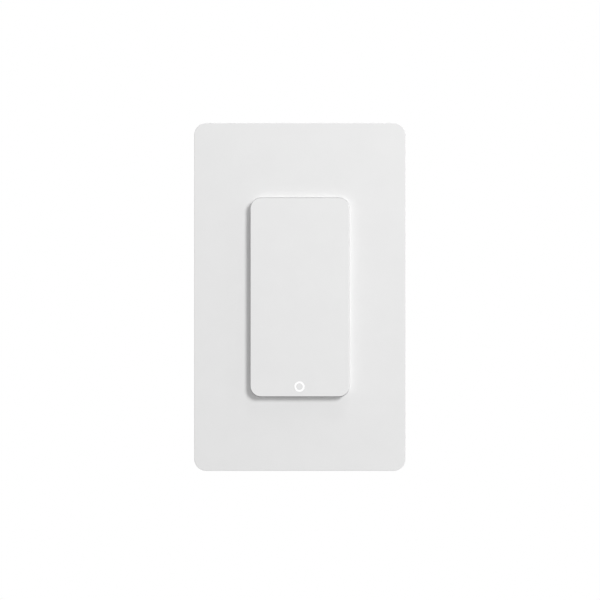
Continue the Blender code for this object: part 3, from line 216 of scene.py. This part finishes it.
lensFinish = mouldedPlastic("clearLens", (0.860, 0.880, 0.860), rough=0.12, grain=0.50 * mm,
                            relief=0.001 * mm)
fibreFinish = mouldedPlastic("redFibre", (0.26, 0.085, 0.035), rough=0.75, grain=0.10 * mm,
                             relief=0.02 * mm, shade=0.20)
ringFinish = litPlastic("ringLight")
steelFinish = metal("zincSteel", (0.56, 0.56, 0.545), rough=0.34, drawn=(1.0, 1.0, 0.06),
                    variation=0.30)
screwFinish = metal("screwSteel", (0.62, 0.62, 0.60), rough=0.30)
springFinish = metal("springSteel", (0.50, 0.50, 0.49), rough=0.28)
brassFinish = metal("brass", (0.66, 0.47, 0.19), rough=0.32)
greenFinish = metal("greenChromate", (0.06, 0.30, 0.11), rough=0.38)
boardFinish = circuitBoard("boardMask")
# the two bulk capacitors end at the same depth, so one finish does for both
sleeveFinish = bareEnds("capacitorSleeve", "bulk_capacitor_upper", axis=1, lower=0.3 * mm,
                        upper=0.0, body=(0.020, 0.021, 0.026), ends=(0.70, 0.70, 0.71),
                        rough=0.36)
fuseFinish = bareEnds("fuseTube", "fuse", axis=2, lower=1.8 * mm, upper=1.8 * mm,
                      body=(0.74, 0.69, 0.60), ends=(0.70, 0.69, 0.66), rough=0.30)
slotFinishes = {
    "white_plastic": paddleFinish, "inner_plastic": frameFinish, "dark_plastic": housingFinish,
    "clear_plastic": lensFinish, "steel": steelFinish, "brass": brassFinish,
    "green_steel": greenFinish, "board_green": boardFinish, "relay_blue": relayFinish,
    "ferrite": ferriteFinish, "yellow_tape": tapeFinish, "film_grey": filmFinish,
    "ceramic": fuseFinish, "fibre": fibreFinish, "capacitor_sleeve": sleeveFinish,
}
print("finishes made")


# Shapes
weld = {"solid": 0.002 * mm, "shape": 0.001 * mm, "thread": 0.0005 * mm}
shoulder = 0.3  # where the middle of a small round lies, as a share of its radius


def addObject(name, data):
    made = bpy.data.objects.new(name, data)
    bpy.context.scene.collection.objects.link(made)
    return made


def toMesh(name, bm):
    mesh = bpy.data.meshes.new(name)
    bm.to_mesh(mesh)
    bm.free()
    return mesh


def closedMesh(name, bm):
    bmesh.ops.remove_doubles(bm, verts=bm.verts, dist=weld["shape"])
    bmesh.ops.recalc_face_normals(bm, faces=bm.faces)
    return toMesh(name, bm)


def evaluatedMesh(thing):
    # what a curve, or a piece with modifiers, comes to
    bpy.context.view_layer.update()
    seen = thing.evaluated_get(bpy.context.evaluated_depsgraph_get())
    return bpy.data.meshes.new_from_object(seen)


def newPiece(name, mesh, material, sharp=35):
    mesh.materials.append(material)
    mesh.shade_smooth()
    mesh.set_sharp_from_angle(angle=math.radians(sharp))
    return addObject(name, mesh)


def present(piece, node, body="switch_body"):
    # the piece moves with its body and is seen in the node's place
    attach(piece, body)
    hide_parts(node)


def circle(radius, steps):
    angles = [2 * math.pi * i / steps for i in range(steps)]
    return [(radius * math.cos(angle), radius * math.sin(angle)) for angle in angles]


def roundedOutline(halfWidth, halfHeight, radius, steps):
    # points round a rectangle with round corners, in the plane of the wall
    points = []
    for corner, (sx, sz) in enumerate(((1, 1), (-1, 1), (-1, -1), (1, -1))):
        for i in range(steps + 1):
            angle = math.pi / 2 * (corner + i / steps)
            points.append((sx * (halfWidth - radius) + radius * math.cos(angle),
                           sz * (halfHeight - radius) + radius * math.sin(angle)))
    return points


def roundOver(halfWidth, halfHeight, radius, y, shape):
    # sections of a rounded edge from the side wall to the flat front, and one just
    # inside it that keeps the front's shading flat
    turn, steps, held = shape["edge"], shape["edgeSteps"], shape["held"]
    insets = []
    for i in range(steps + 1):
        angle = math.pi / 2 * i / steps
        insets.append((turn * (1 - math.cos(angle)), turn * (1 - math.sin(angle))))
    insets.append((turn + held, 0.0))
    return [(halfWidth - inset, halfHeight - inset, radius - inset, y + back)
            for inset, back in insets]


def addRing(bm, points, y):
    return [bm.verts.new((x, y, z)) for x, z in points]


def bridge(bm, first, second):
    # faces between two rings of points; a ring of a single point closes an end
    count = max(len(first), len(second))
    for i in range(count):
        j = (i + 1) % count
        corners = (first[i % len(first)], first[j % len(first)],
                   second[j % len(second)], second[i % len(second)])
        bm.faces.new(list(dict.fromkeys(corners)))


def fillBetween(bm, outer, inner):
    edges = []
    for ring in (outer, inner):
        for a, b in zip(ring, ring[1:] + ring[:1]):
            edges.append(bm.edges.get((a, b)) or bm.edges.new((a, b)))
    bmesh.ops.triangle_fill(bm, use_beauty=True, use_dissolve=False, edges=edges)


def addBox(bm, low, high):
    made = bmesh.ops.create_cube(bm, size=1.0)
    middle = [(a + b) / 2 for a, b in zip(low, high)]
    for vertex in made["verts"]:
        vertex.co = Vector(m + co * (b - a) for m, co, a, b in zip(middle, vertex.co, low, high))


def turnTo(axis):
    return Vector((0, 0, 1)).rotation_difference(Vector(axis)).to_matrix().to_4x4()


def turnedMesh(profile, place, axis, steps=48):
    # a closed turned body: (radius, distance) points from start to end along the axis
    bm = bmesh.new()
    rings = []
    for radius, distance in profile:
        points = circle(radius, steps) if radius else [(0.0, 0.0)]
        rings.append([bm.verts.new((x, y, distance)) for x, y in points])
    for first, second in zip(rings, rings[1:]):
        bridge(bm, first, second)
    bm.transform(Matrix.Translation(place) @ turnTo(axis))
    return bm


def turnedPiece(name, profile, place, axis, material, steps=48):
    return newPiece(name, closedMesh(name, turnedMesh(profile, place, axis, steps)), material)


def addTurned(bm, profile, place, axis, steps=32):
    # a closed turned body added to another shape
    mesh = toMesh("turned", turnedMesh(profile, place, axis, steps))
    bm.from_mesh(mesh)
    bpy.data.meshes.remove(mesh)


# Cover plate
coverPlate = {"edge": 0.15 * mm, "corner": 4.0 * mm, "wall": 1.6 * mm, "front": 1.8 * mm,
              "draft": 0.2 * mm, "openingCorner": 3.66 * mm, "openingEdge": 0.04 * mm,
              "clear": 0.008 * mm, "clearAbove": 0.11 * mm, "clearBelow": 0.15 * mm,
              "held": 0.1 * mm, "cornerSteps": 16, "edgeSteps": 6}
snapTabs = {"width": 8.0 * mm, "thickness": 0.9 * mm, "reach": 2.4 * mm, "high": 35.0 * mm,
            "aside": 21.0 * mm, "behind": 0.3 * mm, "into": 0.8 * mm}


def makeCoverPlate():
    low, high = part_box("cover_plate")
    halfW, halfH = high.x, high.z
    front, rear = low.y, high.y
    c = coverPlate
    paddleW, paddleH = paddleFoot()
    openW = paddleW + c["clear"]
    openH = paddleH + (c["clearAbove"] + c["clearBelow"]) / 2
    # the opening clears the paddle's lower end, which swings, by more
    shift = (c["clearAbove"] - c["clearBelow"]) / 2 - paddleShape["down"]
    sections = [(halfW, halfH, c["corner"], rear)]
    sections += roundOver(halfW - c["draft"], halfH - c["draft"], c["corner"], front, c)
    outside = len(sections)
    inner = front + c["front"]
    lip = c["openingEdge"]
    for inset, y in ((lip + c["held"], front), (lip, front),
                     (lip * shoulder, front + lip * shoulder), (0.0, front + lip), (0.0, inner)):
        sections.append((openW + inset, openH + inset, c["openingCorner"] + inset, y))
    opening = range(outside, len(sections))
    innerW, innerH = halfW - c["wall"], halfH - c["wall"]
    innerCorner = c["corner"] - c["wall"]
    sections.append((innerW - c["draft"], innerH - c["draft"], innerCorner, inner))
    sections.append((innerW, innerH, innerCorner, rear))
    bm = bmesh.new()
    rings = []
    for number, (w, h, r, y) in enumerate(sections):
        lift = shift if number in opening else 0.0
        points = [(x, z + lift) for x, z in roundedOutline(w, h, r, c["cornerSteps"])]
        rings.append(addRing(bm, points, y))
    for first, second in zip(rings, rings[1:] + rings[:1]):
        bridge(bm, first, second)
    addSnapTabs(bm, innerW, innerH)
    piece = newPiece("coverPlate", closedMesh("coverPlate", bm), plateFinish)
    present(piece, "cover_plate")


def addSnapTabs(bm, innerW, innerH):
    # eight tabs on the walls, which snap behind the mounting plate
    t = snapTabs
    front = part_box("mounting_plate")[1].y + t["behind"]
    half = t["width"] / 2
    for side in (1, -1):
        for level in (1, -1):
            a, b = sorted((side * (innerW - t["reach"]), side * (innerW + t["into"])))
            z = level * t["high"]
            addBox(bm, (a, front, z - half), (b, front + t["thickness"], z + half))
            a, b = sorted((side * (innerH - t["reach"]), side * (innerH + t["into"])))
            x = level * t["aside"]
            addBox(bm, (x - half, front, a), (x + half, front + t["thickness"], b))


# Paddle with its lit ring
# slim and short take its foot in from the solid's, draft and rise slope its sides, and
# down, aside and raise put paddle and ring where the photo shows them
paddleShape = {"edge": 0.12 * mm, "corner": 3.4 * mm, "wall": 1.6 * mm, "draft": 0.18 * mm,
               "rise": 0.08 * mm, "slim": 0.07 * mm, "short": 0.25 * mm, "proud": 2.4 * mm,
               "down": 0.09 * mm, "held": 0.1 * mm, "skirt": 3.2 * mm, "ringGap": 0.02 * mm,
               "ringLip": 0.03 * mm, "cornerSteps": 16, "edgeSteps": 5}
ringShape = {"aside": -0.12 * mm, "raise": 0.15 * mm, "lip": 0.05 * mm, "gap": 0.03 * mm,
             "recess": 0.06 * mm, "play": 0.1 * mm, "rim": 2.4 * mm, "stem": 1.4 * mm,
             "steps": 64}
# root is how far the pieces of the back reach into the shell
paddleBack = {"root": 0.4 * mm, "overlap": 0.1 * mm,
              "hinge": (-4.4 * mm, 25.5 * mm), "lugX": (10.4 * mm, 12.0 * mm),
              "lugHalf": 1.2 * mm, "lugEdge": 0.1 * mm,
              "pinR": 1.0 * mm, "pinEnd": 14.2 * mm, "pinEdge": 0.2 * mm,
              "hook": (7.5 * mm, -24.5 * mm), "hookHalf": (1.5 * mm, 0.6 * mm),
              "barb": (-1.2 * mm, -0.3 * mm), "barbReach": 0.8 * mm,
              "barbFlat": 0.35, "barbTip": 0.3,
              "stud": (9.0 * mm, -15.0 * mm), "studR": 1.38 * mm, "studDeep": 0.7 * mm,
              "studEdge": 0.2 * mm,
              "pusherZ": -20.0 * mm, "pusherR": 1.7 * mm, "pusherEnd": -2.6 * mm,
              "pusherEdge": 0.3 * mm,
              "ribs": (17.0 * mm, 6.0 * mm, -6.0 * mm), "ribHalf": (12.0 * mm, 0.5 * mm),
              "ribDeep": 1.0 * mm}


def paddleFoot():
    # half the width and height of the paddle where it meets the plate
    low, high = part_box("paddle")
    return high.x - paddleShape["slim"], (high.z - low.z) / 2 - paddleShape["short"]


def ringPlace():
    # middle of the ring on the paddle's face
    low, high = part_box("light_guide")
    middle = (low + high) / 2
    return middle.x + ringShape["aside"], low.y, middle.z + ringShape["raise"]


def makePaddle():
    low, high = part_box("paddle")
    p = paddleShape
    footW, footH = paddleFoot()
    halfW, halfH = footW - p["draft"], footH - p["rise"]
    footCorner = p["corner"] + p["draft"]
    middle = (low.z + high.z) / 2 - p["down"]
    face, under, rear = low.y, low.y + p["wall"], low.y + p["skirt"]
    hollow = (halfW - p["wall"], halfH - p["wall"], p["corner"] - p["wall"])
    sections = [(*hollow, under), (*hollow, rear), (footW, footH, footCorner, rear),
                (footW, footH, footCorner, face + p["proud"])]
    sections += roundOver(halfW, halfH, p["corner"], face, p)
    bm = bmesh.new()
    rings = []
    for w, h, r, y in sections:
        points = [(x, z + middle) for x, z in roundedOutline(w, h, r, p["cornerSteps"])]
        rings.append(addRing(bm, points, y))
    ringX, _, ringZ = ringPlace()
    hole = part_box("light_guide")[1].x + p["ringGap"]
    lip = p["ringLip"]
    bore = []
    for radius, y in ((hole + lip + p["held"] / 2, face), (hole + lip, face), (hole, face + lip),
                      (hole, under)):
        points = [(ringX + x, ringZ + z) for x, z in circle(radius, ringShape["steps"])]
        bore.append(addRing(bm, points, y))
    for group in (rings, bore):
        for first, second in zip(group, group[1:]):
            bridge(bm, first, second)
    # the face and its underside are flat, with the bore as a hole in both
    fillBetween(bm, rings[-1], bore[0])
    fillBetween(bm, rings[0], bore[-1])
    addPaddleBack(bm, under)
    piece = newPiece("paddleShell", closedMesh("paddleShell", bm), paddleFinish)
    present(piece, "paddle", "paddle")


def pinProfile(radius, length, edge):
    # a pin with a chamfer at its free end
    return [(0, 0), (radius, 0), (radius, length - edge), (radius - edge, length), (0, length)]


def addPaddleBack(bm, under):
    # lugs with their hinge pins, snap hooks, spring studs, the pusher and the ribs
    b = paddleBack
    root = under - b["root"]
    hingeY, hingeZ = b["hinge"]
    inner, outer = b["lugX"]
    half = b["lugHalf"]
    hookX, hookZ = b["hook"]
    hookW, hookH = b["hookHalf"]
    studX, studZ = b["stud"]
    stud = pinProfile(b["studR"], under - root + b["studDeep"], b["studEdge"])
    for side in (1, -1):
        left, right = sorted((side * inner, side * outer))
        addBox(bm, (left, root, hingeZ - half), (right, hingeY, hingeZ + half))
        start, way = (side * inner, hingeY, hingeZ), (side, 0, 0)
        addTurned(bm, pinProfile(half, outer - inner, b["lugEdge"]), start, way)
        addTurned(bm, pinProfile(b["pinR"], b["pinEnd"] - inner, b["pinEdge"]), start, way)
        x = side * hookX
        addBox(bm, (x - hookW, root, hookZ - hookH), (x + hookW, b["barb"][1], hookZ + hookH))
        addBarb(bm, x)
        addTurned(bm, stud, (side * studX, root, studZ), (0, 1, 0))
    pusher = pinProfile(b["pusherR"], b["pusherEnd"] - root, b["pusherEdge"])
    addTurned(bm, pusher, (0, root, b["pusherZ"]), (0, 1, 0))
    ribW, ribH = b["ribHalf"]
    for z in b["ribs"]:
        addBox(bm, (-ribW, root, z - ribH), (ribW, under + b["ribDeep"], z + ribH))


def addBarb(bm, x):
    # the hook's barb: square towards the room, with a lead-in behind
    b = paddleBack
    halfW, halfH = b["hookHalf"]
    front, rear = b["barb"]
    reach = b["barbReach"] + b["overlap"]
    top = b["hook"][1] - halfH + b["overlap"]
    shape = [(front, top), (front, top - reach),
             (front + b["barbFlat"] * (rear - front), top - reach),
             (rear, top - b["barbTip"] * reach), (rear, top)]
    ends = [[bm.verts.new((x + side * halfW, y, z)) for y, z in shape] for side in (1, -1)]
    bm.faces.new(ends[0])
    bm.faces.new(ends[1])
    bridge(bm, ends[0], ends[1])


def makeRing():
    guideLow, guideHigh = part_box("light_guide")
    discLow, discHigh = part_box("ring_centre")
    r = ringShape
    lip, outer, centre = r["lip"], guideHigh.x, discHigh.x
    inner = centre + r["gap"]
    length = guideHigh.y - guideLow.y
    recess = discHigh.y - discLow.y + r["recess"]
    x, y, z = ringPlace()
    profile = [(0.0, recess), (inner, recess), (inner, lip), (inner + lip, 0.0),
               (outer - lip, 0.0), (outer, lip), (outer, r["rim"]), (r["stem"], r["rim"]),
               (r["stem"], length), (0.0, length)]
    guide = turnedPiece("ringGuide", profile, (x, y, z), (0, 1, 0), ringFinish, r["steps"])
    present(guide, "light_guide", "paddle")
    deep = recess - r["play"]
    profile = [(0.0, 0.0), (centre - lip, 0.0), (centre, lip), (centre, deep), (0.0, deep)]
    disc = turnedPiece("ringDisc", profile, (x, discLow.y, z), (0, 1, 0), paddleFinish, r["steps"])
    present(disc, "ring_centre", "paddle")


# Screws with their threads
screwKinds = {
    "mounting": {"radius": 1.7 * mm, "pitch": 0.79 * mm, "depth": 0.30 * mm,
                 "headRadius": 3.3 * mm, "head": 1.8 * mm, "sink": False, "slot": 0.45 * mm},
    "plate": {"radius": 1.6 * mm, "pitch": 0.79 * mm, "depth": 0.28 * mm,
              "headRadius": 3.4 * mm, "head": 1.5 * mm, "sink": True, "slot": 0.45 * mm},
    "terminal": {"radius": 1.7 * mm, "pitch": 0.79 * mm, "depth": 0.30 * mm,
                 "headRadius": 3.8 * mm, "head": 2.0 * mm, "sink": False, "slot": 0.45 * mm},
    "housing": {"radius": 1.1 * mm, "pitch": 0.60 * mm, "depth": 0.22 * mm,
                "headRadius": 1.9 * mm, "head": 1.4 * mm, "sink": False, "slot": 0.3 * mm},
}
# wave is the thread's height at even steps along one pitch, and plain numbers are shares
# of the head's radius or height, but for turns, the angles where a sunk head has points
threadShape = {"sides": 20, "wave": (0.0, 0.75, 1.0, 0.25), "start": 0.9}
panHead = {"crown": ((0.55, 0.02), (0.80, 0.10), (0.94, 0.24), (1.0, 0.45)), "edge": 0.1 * mm}
sunkHead = {"crown": 0.15, "turns": (0.5, 1.0, 1.57), "within": 0.94, "rim": 1.2,
            "neck": 1.5 * mm}
slotShape = {"deep": 0.55, "slotReach": 1.3, "crossReach": 0.55, "crossDeep": 0.999,
             "above": 1 * mm}


def threadMesh(radius, pitch, depth, length):
    # rows follow the helix, and are held at the ends, where they meet the core
    sides, wave = threadShape["sides"], threadShape["wave"]
    samples = len(wave)
    core = radius - depth
    bm = bmesh.new()
    grid = []
    for i in range(int((length / pitch + 2) * samples)):
        row = []
        for j in range(sides):
            turn = j / sides
            z = (i / samples + turn - 1) * pitch
            held = min(max(z, 0.0), length)
            r = core + (depth * wave[i % samples] if held == z else 0.0)
            angle = 2 * math.pi * turn
            row.append(bm.verts.new((r * math.cos(angle), r * math.sin(angle), held)))
        grid.append(row)
    for i in range(len(grid) - 1 - samples):
        for j in range(sides):
            # the last column meets the first one a whole turn on
            k = i if j + 1 < sides else i + samples
            n = (j + 1) % sides
            bm.faces.new((grid[i][j], grid[k][n], grid[k + 1][n], grid[i + 1][j]))
    bmesh.ops.remove_doubles(bm, verts=bm.verts, dist=weld["thread"])
    bmesh.ops.dissolve_degenerate(bm, edges=bm.edges, dist=weld["thread"])
    loose = [edge for edge in bm.edges if not edge.link_faces]
    bmesh.ops.delete(bm, geom=loose, context="EDGES")
    bmesh.ops.holes_fill(bm, edges=[edge for edge in bm.edges if edge.is_boundary], sides=0)
    return bm


def headProfile(kind):
    k = screwKinds[kind]
    r, head = k["headRadius"], k["head"]
    if k["sink"]:
        s = sunkHead
        crown = s["crown"] * head
        profile = [(r * math.sin(a) * s["within"], crown * (1 - math.cos(a))) for a in s["turns"]]
        profile += [(r, crown * s["rim"]), (s["neck"], crown + head), (0.0, crown + head)]
    else:
        edge = panHead["edge"]
        profile = [(r * across, head * along) for across, along in panHead["crown"]]
        profile += [(r, head - edge), (r - edge, head), (0.0, head)]
    return [(0.0, 0.0)] + profile


def headMesh(kind, cross):
    k, s = screwKinds[kind], slotShape
    half, deep = k["slot"], k["head"] * s["deep"]
    reach = k["headRadius"] * (s["crossReach"] if cross else s["slotReach"])
    bm = bmesh.new()
    addBox(bm, (-half, -reach, -s["above"]), (half, reach, deep))
    if cross:
        # a hair less deep, so that no two of the cutter's faces coincide
        addBox(bm, (-reach, -half, -s["above"]), (reach, half, deep * s["crossDeep"]))
    cutter = addObject("slotCutter", toMesh("slotCutter", bm))
    turned = turnedMesh(headProfile(kind), (0, 0, 0), (0, 0, 1))
    head = addObject("screwHead", closedMesh("screwHead", turned))
    cut = head.modifiers.new("slot", "BOOLEAN")
    cut.object = cutter
    cut.operation = "DIFFERENCE"
    cut.use_self = cross
    mesh = evaluatedMesh(head)
    bpy.data.objects.remove(cutter)
    bpy.data.objects.remove(head)
    return mesh


def makeScrew(node, kind, axis, material, cross=False):
    k = screwKinds[kind]
    low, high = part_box(node)
    axis = Vector(axis)
    middle = (low + high) / 2
    reach = abs((high - low).dot(axis))
    start = k["head"] * threadShape["start"]
    bm = threadMesh(k["radius"], k["pitch"], k["depth"], reach - start)
    bm.transform(Matrix.Translation((0, 0, start)))
    bm.from_mesh(headMesh(kind, cross))
    # each screw stops at its own angle, taken from its name
    clock = sum(ord(letter) for letter in node) * 0.7
    bm.transform(Matrix.Translation(middle - axis * reach / 2) @ turnTo(axis)
                 @ Matrix.Rotation(clock, 4, "Z"))
    present(newPiece(node + "Threaded", toMesh(node, bm), material, 30), node)


# Return springs, which the paddle squeezes
returnSpring = {"wire": 0.22 * mm, "turns": 4, "endTurns": 0.4, "samples": 28,
                "squeeze": 0.488 * mm}


def makeSpring(node, hand):
    s = returnSpring
    low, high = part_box(node)
    middle = (low + high) / 2
    radius = (high.x - low.x) / 2 - s["wire"]
    rear, front = high.y - s["wire"], low.y + s["wire"]
    wire = bpy.data.curves.new(node, "CURVE")
    wire.dimensions = "3D"
    wire.bevel_depth = s["wire"]
    wire.bevel_resolution = 3
    wire.use_fill_caps = True
    spline = wire.splines.new("POLY")
    spline.points.add(round((s["turns"] + 2 * s["endTurns"]) * s["samples"]))
    for i, point in enumerate(spline.points):
        turn = i / s["samples"]
        share = min(max((turn - s["endTurns"]) / s["turns"], 0.0), 1.0)
        angle = 2 * math.pi * turn * hand
        point.co = (middle.x + radius * math.cos(angle), rear + (front - rear) * share,
                    middle.z + radius * math.sin(angle), 1.0)
    coil = addObject(node, wire)
    mesh = evaluatedMesh(coil)
    bpy.data.objects.remove(coil)
    piece = newPiece(node + "Coil", mesh, springFinish, 60)
    present(piece, node)
    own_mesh(piece)


# Sealed parts on the boards, and the switch's plunger
canShape = {"bung": ((0.94, 0.0), (0.98, 0.02), (1.0, 0.06)), "crimp": 0.12,
            "waist": ((1.0, 1.0), (0.96, 1.15), (0.93, 1.4), (0.96, 1.65), (1.0, 1.8)),
            "edge": 0.1 * mm, "sleeve": 0.35 * mm, "lid": 0.20 * mm, "lidEdge": 2.2}
fuseShape = {"cap": 0.22, "neck": 0.9, "edge": 0.15 * mm}
discShape = {"edge": 0.25, "steps": 6}
plungerShape = {"edge": 0.15}


def makeCapacitor(node):
    # from the rubber bung on the board, over the crimp in the can, to the bare lid
    c = canShape
    low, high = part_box(node)
    middle = (low + high) / 2
    r, tall = (high.x - low.x) / 2, high.y - low.y
    crimp, sleeve, edge = tall * c["crimp"], c["sleeve"], c["edge"]
    profile = [(0.0, 0.0)]
    profile += [(r * across, r * along) for across, along in c["bung"]]
    profile += [(r * across, crimp * along) for across, along in c["waist"]]
    profile += [(r, tall - sleeve), (r - edge, tall - edge), (r - sleeve, tall),
                (r - 2 * sleeve, tall), (r - c["lidEdge"] * sleeve, tall - c["lid"]),
                (0.0, tall - c["lid"])]
    place = (middle.x, high.y, middle.z)
    present(turnedPiece(node + "Can", profile, place, (0, -1, 0), sleeveFinish), node)


def makeFuse(node):
    f = fuseShape
    low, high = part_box(node)
    middle = (low + high) / 2
    r, long = (high.y - low.y) / 2, high.z - low.z
    cap, edge = long * f["cap"], f["edge"]
    end = [(0.0, 0.0), (r - edge, 0.0), (r, edge), (r, cap - edge / 2), (r - edge / 2, cap),
           (r * f["neck"], cap)]
    profile = end + [(radius, long - distance) for radius, distance in reversed(end)]
    place = (middle.x, middle.y, low.z)
    present(turnedPiece(node + "Tube", profile, place, (0, 0, 1), fuseFinish), node)


def makeVaristor(node):
    d = discShape
    low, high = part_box(node)
    middle = (low + high) / 2
    r, thick = (high.y - low.y) / 2, high.x - low.x
    turn = thick * d["edge"]
    angles = [math.pi / 2 * i / d["steps"] for i in range(d["steps"] + 1)]
    half = [(0.0, 0.0)] + [(r - turn + turn * math.sin(angle), turn - turn * math.cos(angle))
                           for angle in angles]
    profile = half + [(radius, thick - distance) for radius, distance in reversed(half)]
    place = (low.x, middle.y, middle.z)
    present(turnedPiece(node + "Disc", profile, place, (1, 0, 0), relayFinish), node)


def makePlunger(node):
    low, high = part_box(node)
    middle = (low + high) / 2
    r, long = (high.x - low.x) / 2, high.y - low.y
    edge = plungerShape["edge"] * r
    profile = [(0.0, 0.0), (r - edge, 0.0), (r - shoulder * edge, shoulder * edge), (r, edge),
               (r, long), (0.0, long)]
    place = (middle.x, low.y, middle.z)
    present(turnedPiece(node + "Button", profile, place, (0, 1, 0), relayFinish), node, "plunger")


# Pieces that keep the shape of their solids, with a fine radius along the edges
fineEdges = {
    "strap": 0.12 * mm, "rear_housing": 0.15 * mm, "mounting_plate": 0.15 * mm,
    "screw_retainer_upper": 0.08 * mm, "screw_retainer_lower": 0.08 * mm,
    "front_frame": 0.10 * mm, "relay": 0.20 * mm, "filter_capacitor": 0.20 * mm,
    "transformer_core": 0.15 * mm, "transformer_coil": 0.20 * mm, "bridge_rectifier": 0.15 * mm,
    "tact_switch_case": 0.08 * mm, "board_header": 0.08 * mm, "radio_shield": 0.08 * mm,
    "control_board": 0.06 * mm, "power_board": 0.06 * mm, "radio_module": 0.06 * mm,
}
terminalEdge = 0.08 * mm
edgeLimits = {"flat": 1, "sharp": 40}  # degrees between faces


def refine(node, edge):
    sharp = edgeLimits["sharp"]
    bm = bmesh.new()
    bm.from_mesh(frame["nodes"][node].data)
    bmesh.ops.remove_doubles(bm, verts=bm.verts, dist=weld["solid"])
    bmesh.ops.dissolve_limit(bm, angle_limit=math.radians(edgeLimits["flat"]), verts=bm.verts,
                             edges=bm.edges)
    # a face with holes in it comes apart under the rounding, so the large ones are split
    bmesh.ops.triangulate(bm, faces=[face for face in bm.faces if len(face.verts) > 4])
    piece = newPiece(node + "Fine", toMesh(node, bm), slotFinishes[slotOf[node]], sharp)
    rounding = piece.modifiers.new("edges", "BEVEL")
    rounding.width = edge
    rounding.segments = 2
    rounding.limit_method = "ANGLE"
    rounding.angle_limit = math.radians(sharp)
    rounding.use_clamp_overlap = True
    flat = piece.modifiers.new("flat", "WEIGHTED_NORMAL")
    flat.weight = 100
    flat.keep_sharp = True
    present(piece, node)


makeCoverPlate()
makePaddle()
makeRing()
makeSpring("return_spring_right", 1)
makeSpring("return_spring_left", -1)
makeCapacitor("bulk_capacitor_upper")
makeCapacitor("bulk_capacitor_lower")
makeFuse("fuse")
makeVaristor("varistor")
makePlunger("tact_switch_plunger")
for level in ("upper", "lower"):
    makeScrew("mounting_screw_" + level, "mounting", (0, 1, 0), screwFinish, cross=True)
    makeScrew("plate_screw_" + level, "plate", (0, 1, 0), screwFinish)
for terminal, side in (("line", -1), ("load", -1), ("neutral", 1), ("traveller", 1)):
    makeScrew("terminal_screw_" + terminal, "terminal", (side, 0, 0), brassFinish, cross=True)
    refine("terminal_plate_" + terminal, terminalEdge)
    refine("clamp_plate_" + terminal, terminalEdge)
makeScrew("ground_screw", "terminal", (1, 0, 0), greenFinish, cross=True)
for corner in ("upper_right", "upper_left", "lower_right", "lower_left"):
    makeScrew("housing_screw_" + corner, "housing", (0, -1, 0), screwFinish, cross=True)
for node, edge in fineEdges.items():
    refine(node, edge)
# the sheet and the status light stay as they are, with the finish of their slot
for node, cadPiece in frame["nodes"].items():
    cadPiece.data.materials.clear()
    cadPiece.data.materials.append(slotFinishes[slotOf[node]])
print("pieces made")


# Camera, light and surroundings
view = {"lens": 150.0, "sensor": 36.0, "nearest": 0.01, "distance": 0.8217,
        "aside": 0.04 * mm, "height": -1.0 * mm, "plane": -3.0 * mm}
lamps = {
    "key": {"towards": (0.66, -1.00, 0.58), "away": 1.20, "size": 0.42, "power": 9.7},
    "above": {"towards": (0.20, -0.27, 1.00), "away": 1.20, "size": 0.40, "power": 1.95},
    "right": {"towards": (1.00, -0.26, 0.36), "away": 1.20, "size": 0.30, "power": 0.85},
    "left": {"towards": (-1.00, 0.45, 0.35), "away": 1.40, "size": 0.80, "power": 1.8},
    "back": {"towards": (0.55, 1.00, 0.60), "away": 1.40, "size": 0.90, "power": 7.0},
}
surroundings = {"white": (1.0, 1.0, 1.0, 1.0), "ambient": 0.40,
                "floorTone": (0.86, 0.86, 0.86, 1.0), "floorRadius": 0.5, "floorDown": 0.60,
                "floorSteps": 96}


def makeCamera():
    camera = bpy.data.cameras.new("camera")
    camera.lens = view["lens"]
    camera.sensor_width = view["sensor"]
    camera.clip_start = view["nearest"]
    eye = addObject("camera", camera)
    eye.location = (view["aside"], view["plane"] - view["distance"], view["height"])
    eye.rotation_euler = (math.pi / 2, 0, 0)
    bpy.context.scene.camera = eye


def makeLamps():
    for name, lamp in lamps.items():
        light = bpy.data.lights.new(name, "AREA")
        light.shape = "DISK"
        light.size = lamp["size"]
        light.energy = lamp["power"]
        holder = addObject(name, light)
        way = Vector(lamp["towards"]).normalized()
        holder.location = way * lamp["away"]
        holder.rotation_euler = way.to_track_quat("Z", "Y").to_euler()


def makeWorld():
    # the ground is seen pure white, and sheds less light than that
    world = bpy.data.worlds.new("studio")
    bpy.context.scene.world = world
    world.use_nodes = True
    graph = Graph(world.node_tree)
    shed = graph.tree.nodes["Background"]
    shed.inputs["Color"].default_value = surroundings["white"]
    shed.inputs["Strength"].default_value = surroundings["ambient"]
    seen = graph.node("ShaderNodeBackground", {}, {"Color": surroundings["white"]})
    camera, glossy, clear = [graph.node("ShaderNodeLightPath", output=f"Is {ray} Ray")
                             for ray in ("Camera", "Glossy", "Transmission")]
    # a factor above 1 counts as 1
    mixed = graph.node("ShaderNodeMixShader", {}, {0: camera + glossy + clear,
                                                   1: Wire(graph, shed.outputs[0]), 2: seen})
    graph.feed(graph.tree.nodes["World Output"].inputs["Surface"], mixed)


def makeFloor():
    s = surroundings
    bm = bmesh.new()
    bmesh.ops.create_circle(bm, cap_ends=True, radius=s["floorRadius"], segments=s["floorSteps"])
    bm.transform(Matrix.Translation((0, 0, -s["floorDown"])))
    floor = addObject("floor", toMesh("floor", bm))
    pale = Finish("paleFloor", {"Base Color": s["floorTone"], "Roughness": 0.9})
    floor.data.materials.append(pale.material)


makeCamera()
makeLamps()
makeWorld()
makeFloor()
bpy.context.scene.view_settings.view_transform = "Standard"
print("studio made")
